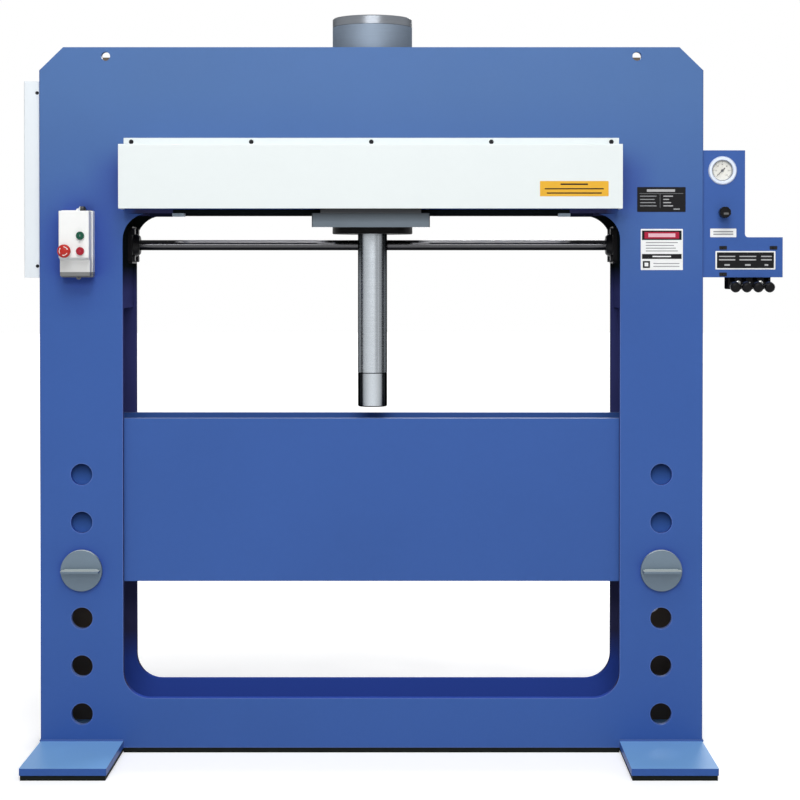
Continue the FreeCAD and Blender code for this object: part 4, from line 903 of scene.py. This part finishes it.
class PRESS_OT_gauge(bpy.types.Operator):
    """Scale, numbers and ring of the pressure gauge"""
    bl_idname = "press.gauge"
    bl_label = "Gauge"

    def execute(self, context):
        grey = print_ink("grey")
        mesh = bmesh.new()
        ticks = 30
        for tick in range(ticks + 1):
            tall, wide = (4.2 * MM, 0.75 * MM) if tick % 5 == 0 else (2.4 * MM, 0.4 * MM)
            join(mesh, rounded_card(wide, tall, SCALE_PRINT, 0.05 * MM, 1),
                 on_dial(tick / ticks, DIAL_RADIUS - 4.2 * MM - tall / 2))
        pieces = 60
        radius = DIAL_RADIUS - 4 * MM
        chord = radius * math.radians(SCALE_SWEEP / pieces) * 1.04
        for step in range(pieces):
            ink, wide = (1, 0.9 * MM) if step >= pieces * 5 / 6 else (0, 0.5 * MM)
            join(mesh, rounded_card(chord, wide, SCALE_PRINT, 0.02 * MM, 1),
                 on_dial((step + 0.5) / pieces, radius), ink)
        upright = Matrix.Rotation(math.radians(90), 4, "X")
        for step in range(7):
            place = on_dial(step / 6, DIAL_RADIUS - 12.5 * MM).translation
            place.y -= SCALE_PRINT / 2
            join(mesh, figure(str(step * 10)), shift(place) @ upright)
        keep("gauge_scale", mesh, [print_ink("black"), grey], "frame")

        outer, inner = DIAL_RADIUS - 0.3 * MM, DIAL_RADIUS - 2.8 * MM
        ring = turned([(0, 0), (outer, 0), (outer, 0.5 * MM), (DIAL_RADIUS - 0.9 * MM, 1.2 * MM),
                       (DIAL_RADIUS - 2.4 * MM, 1.2 * MM), (inner, 0.3 * MM), (0, 0.3 * MM)], 72)
        hole = [face for face in ring.faces
                if max(vert.co.xy.length for vert in face.verts) < inner + 0.2 * MM
                or all(abs(vert.co.z) < 1e-7 for vert in face.verts)]
        bmesh.ops.delete(ring, geom=hole, context="FACES")
        move(ring, facing(front_of("gauge_dial"), (0, -1, 0)))
        keep("gauge_seal", ring, [grey], "frame", 40)
        return {"FINISHED"}


# ---------- starter
class PRESS_OT_starter(bpy.types.Operator):
    """Marks on the push buttons and a smooth mushroom head with three arrows"""
    bl_idname = "press.starter"
    bl_label = "Starter"

    def execute(self, context):
        depth = 0.15 * MM
        mesh = rounded_card(1.1 * MM, 6 * MM, depth, 0.3 * MM, 2)
        move(mesh, shift(front_of("start_button")))
        keep("start_button_mark", mesh, [print_ink("pale")], "start_button")
        mesh = bmesh.new()
        pieces = 28
        for step in range(pieces):
            turn = about_y(math.tau * step / pieces)
            join(mesh, rounded_card(0.68 * MM, 0.9 * MM, depth, 0.02 * MM, 1),
                 shift(front_of("stop_button")) @ turn @ shift((0, 0, 2.7 * MM)))
        keep("stop_button_mark", mesh, [print_ink("rose")], "stop_button")

        low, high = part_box("emergency_button")
        place, radius, total = front_of("emergency_button"), radius_of("emergency_button"), high.y - low.y
        cap, stem = 13 * MM, 8 * MM
        drop = cap * 0.62
        dome = [(radius * math.sin(a), -drop * (1 - math.cos(a)))
                for a in [math.radians(6 * step) for step in range(14)]]
        mesh = turned([*dome, (radius, -cap * 0.72), (radius * 0.97, -cap * 0.93), (radius * 0.9, -cap),
                       (stem, -cap), (stem, -total), (0, -total)], 64)
        move(mesh, facing(place, (0, -1, 0)))
        red = [material_for("mushroom")]
        piece = keep("mushroom_head", mesh, red, "emergency_button", 35)
        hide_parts("emergency_button")

        mesh = bmesh.new()
        share = 0.62
        ring = radius * share
        sink = drop * (1 - math.sqrt(1 - share ** 2))
        for arrow in range(3):
            for step in range(14):
                wide = (1.7 if step < 11 else 4.2 - 1.3 * (step - 11)) * MM
                bar = rounded_card(ring * math.radians(5.8), wide, 1.1 * MM, 0.05 * MM, 1)
                at = shift(place + Vector((0, sink + 0.75 * MM, 0)))
                turn = about_y(math.tau * arrow / 3 + math.radians(5.5 * step))
                join(mesh, bar, at @ turn @ shift((0, 0, ring)))
        keep("mushroom_arrows", mesh, [print_ink("white")], "emergency_button")
        return {"FINISHED"}


# ---------- welds
def bead(start, end, radius, steps):
    """A weld bead with ripples between two points."""
    start, end = Vector(start), Vector(end)
    run = (end - start).length
    mesh = bmesh.new()
    bmesh.ops.create_cone(mesh, cap_ends=True, segments=8, radius1=radius, radius2=radius, depth=run)
    along = [edge for edge in mesh.edges
             if abs(edge.verts[0].co.z - edge.verts[1].co.z) > run / 2]
    bmesh.ops.subdivide_edges(mesh, edges=along, cuts=steps, use_grid_fill=True)
    for vert in mesh.verts:
        swell = 1 + 0.10 * math.sin(math.tau * (vert.co.z / run) * steps / 3)
        vert.co.x *= swell
        vert.co.y *= swell
    move(mesh, facing((start + end) / 2, end - start))
    return mesh


class PRESS_OT_welds(bpy.types.Operator):
    """Weld beads where the plates stand on the feet and meet at the columns' corners"""
    bl_idname = "press.welds"
    bl_label = "Weld beads"

    def execute(self, context):
        radius = context.scene.press_marks.bead
        blue = [material_for("blue_paint")]
        front, rear = FRAME_LOW.y, REAR_FACE
        foot_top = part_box("feet")[1].z
        column_top = 2.055
        plate = 20 * MM
        feet, seams = bmesh.new(), bmesh.new()
        for side in (-1, 1):
            outer, inner = side * FRAME_HIGH.x, side * (FRAME_HIGH.x - COLUMN_WIDTH)
            for y in (front, rear):
                join(feet, bead((outer, y, foot_top), (inner, y, foot_top), radius, 120))
            join(feet, bead((outer, front, foot_top), (outer, rear, foot_top), radius, 140))
            for y in (front + plate, rear - plate):
                join(seams, bead((outer, y, foot_top), (outer, y, column_top), radius * 0.45, 300))
        keep("foot_welds", feet, blue, "frame", 60)
        keep("column_seams", seams, blue, "frame", 60)
        half, head = 50 * MM, 12 * MM
        for node in ("left_pin", "right_pin"):
            middle = middle_of(node)
            mesh = bmesh.new()
            for z in (middle.z - 3 * MM, middle.z + 3 * MM):
                join(mesh, bead((middle.x - half, front - head, z), (middle.x + half, front - head, z),
                                2.2 * MM, 36))
            keep(node + "_welds", mesh, [pin_steel(node)], node, 60)
        return {"FINISHED"}


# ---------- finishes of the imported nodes
class PRESS_OT_finishes(bpy.types.Operator):
    """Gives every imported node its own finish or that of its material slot"""
    bl_idname = "press.finishes"
    bl_label = "Finishes"

    def execute(self, context):
        for row in frame["record"]["subparts"]:
            key = node = row["node"]
            if node not in FINISHES and node not in MAKERS:
                key = row["material_slot"]
            materials = frame["nodes"][node].data.materials
            materials.clear()
            materials.append(material_for(key))
        return {"FINISHED"}


# ---------- studio
class PRESS_OT_studio(bpy.types.Operator):
    """Camera at the photograph's angle, plain soft lamps, a pale floor and a white surround"""
    bl_idname = "press.studio"
    bl_label = "Studio"

    def execute(self, context):
        scene, studio = context.scene, context.scene.press_studio
        scene.view_settings.view_transform = "Standard"
        camera = shown("camera", bpy.data.cameras.new("camera"))
        camera.location = (studio.camera_x, studio.camera_y, studio.camera_z)
        camera.rotation_euler = (math.pi / 2 - studio.pitch, 0, 0)
        camera.data.sensor_width = 36
        for name in ("lens", "shift_x", "shift_y"):
            setattr(camera.data, name, getattr(studio, name))
        scene.camera = camera

        for name, place, aim, size, power in (
                ("key_lamp", (0, -6.5, 7.5), (0, 0, 1.1), (3.0, 2.4), studio.key),
                ("front_lamp", (0, -7.0, 3.8), (0, 0, 1.3), (5.0, 1.6), studio.front),
                ("back_lamp", (1.5, 7.0, 4.5), (0, 0, 1.1), (3.0, 2.4), studio.back),
                ("top_lamp", (0, -1.7, 4.8), (0, -0.3, 0), (3.6, 1.8), studio.top)):
            light = bpy.data.lights.new(name, "AREA")
            light.shape = "RECTANGLE"
            light.size, light.size_y = size
            light.energy = power
            shown(name, light).matrix_world = facing(place, Vector(place) - Vector(aim))

        scene.world = bpy.data.worlds.new("surround")
        scene.world.use_nodes = True
        net = Net(scene.world.node_tree)
        ray = net.add("LightPath").outputs
        seen = net.most(ray["Is Camera Ray"], ray["Is Glossy Ray"], ray["Is Transmission Ray"])
        net.feed(net.tree.nodes["Background"],
                 {"Strength": net.span(seen, studio.sky, 1.0), "Color": (1, 1, 1)})

        mesh = bmesh.new()
        bmesh.ops.create_circle(mesh, cap_ends=True, segments=96, radius=40)
        floor = shown("floor", baked(mesh, "floor"))
        material, net, shader = new_material("Studio floor")
        away = net.vector("LENGTH", net.place(), output="Value")
        glow = net.span(away, 0.42, 0.90, 1.2, 3.2)
        ray = net.add("LightPath").outputs
        net.feed(shader, {
            "Base Color": net.shade(studio.floor, net.span(net.noise(1.2), 0.98, 1.02)),
            "Roughness": net.span(net.noise(5), 0.55, 0.75),
            "Emission Color": (1, 1, 1),
            "Emission Strength": net.times(net.most(ray["Is Camera Ray"], ray["Is Glossy Ray"]), glow)})
        floor.data.materials.append(material)
        return {"FINISHED"}


# ---------- add-on
SETTINGS = {"press_paint": PressPaint, "press_marks": PressMarks, "press_studio": PressStudio}
OPERATORS = (
    PRESS_OT_finishes, PRESS_OT_cover_screws, PRESS_OT_panel_screws, PRESS_OT_labels,
    PRESS_OT_gauge, PRESS_OT_starter, PRESS_OT_welds, PRESS_OT_studio,
)


class PRESS_PT_sidebar(bpy.types.Panel):
    """Lists the steps that dress the press"""
    bl_idname = "PRESS_PT_sidebar"
    bl_label = "Workshop press"
    bl_space_type = "VIEW_3D"
    bl_region_type = "UI"
    bl_category = "Press"

    def draw(self, context):
        for operator in OPERATORS:
            self.layout.operator(operator.bl_idname)
        for name in SETTINGS:
            group = getattr(context.scene, name)
            box = self.layout.box()
            for setting in group.bl_rna.properties:
                if setting.identifier not in ("rna_type", "name"):
                    box.prop(group, setting.identifier)


CLASSES = (*SETTINGS.values(), *OPERATORS, PRESS_PT_sidebar)


def register():
    for item in CLASSES:
        bpy.utils.register_class(item)
    for name, group in SETTINGS.items():
        setattr(bpy.types.Scene, name, bpy.props.PointerProperty(type=group))


def unregister():
    for name in SETTINGS:
        delattr(bpy.types.Scene, name)
    for item in reversed(CLASSES):
        bpy.utils.unregister_class(item)


def main():
    register()
    bpy.ops.press.finishes()
    bpy.ops.press.cover_screws()
    bpy.ops.press.panel_screws()
    bpy.ops.press.labels()
    bpy.ops.press.gauge()
    bpy.ops.press.starter()
    bpy.ops.press.welds()
    bpy.ops.press.studio()


if __name__ == "__main__":
    main()
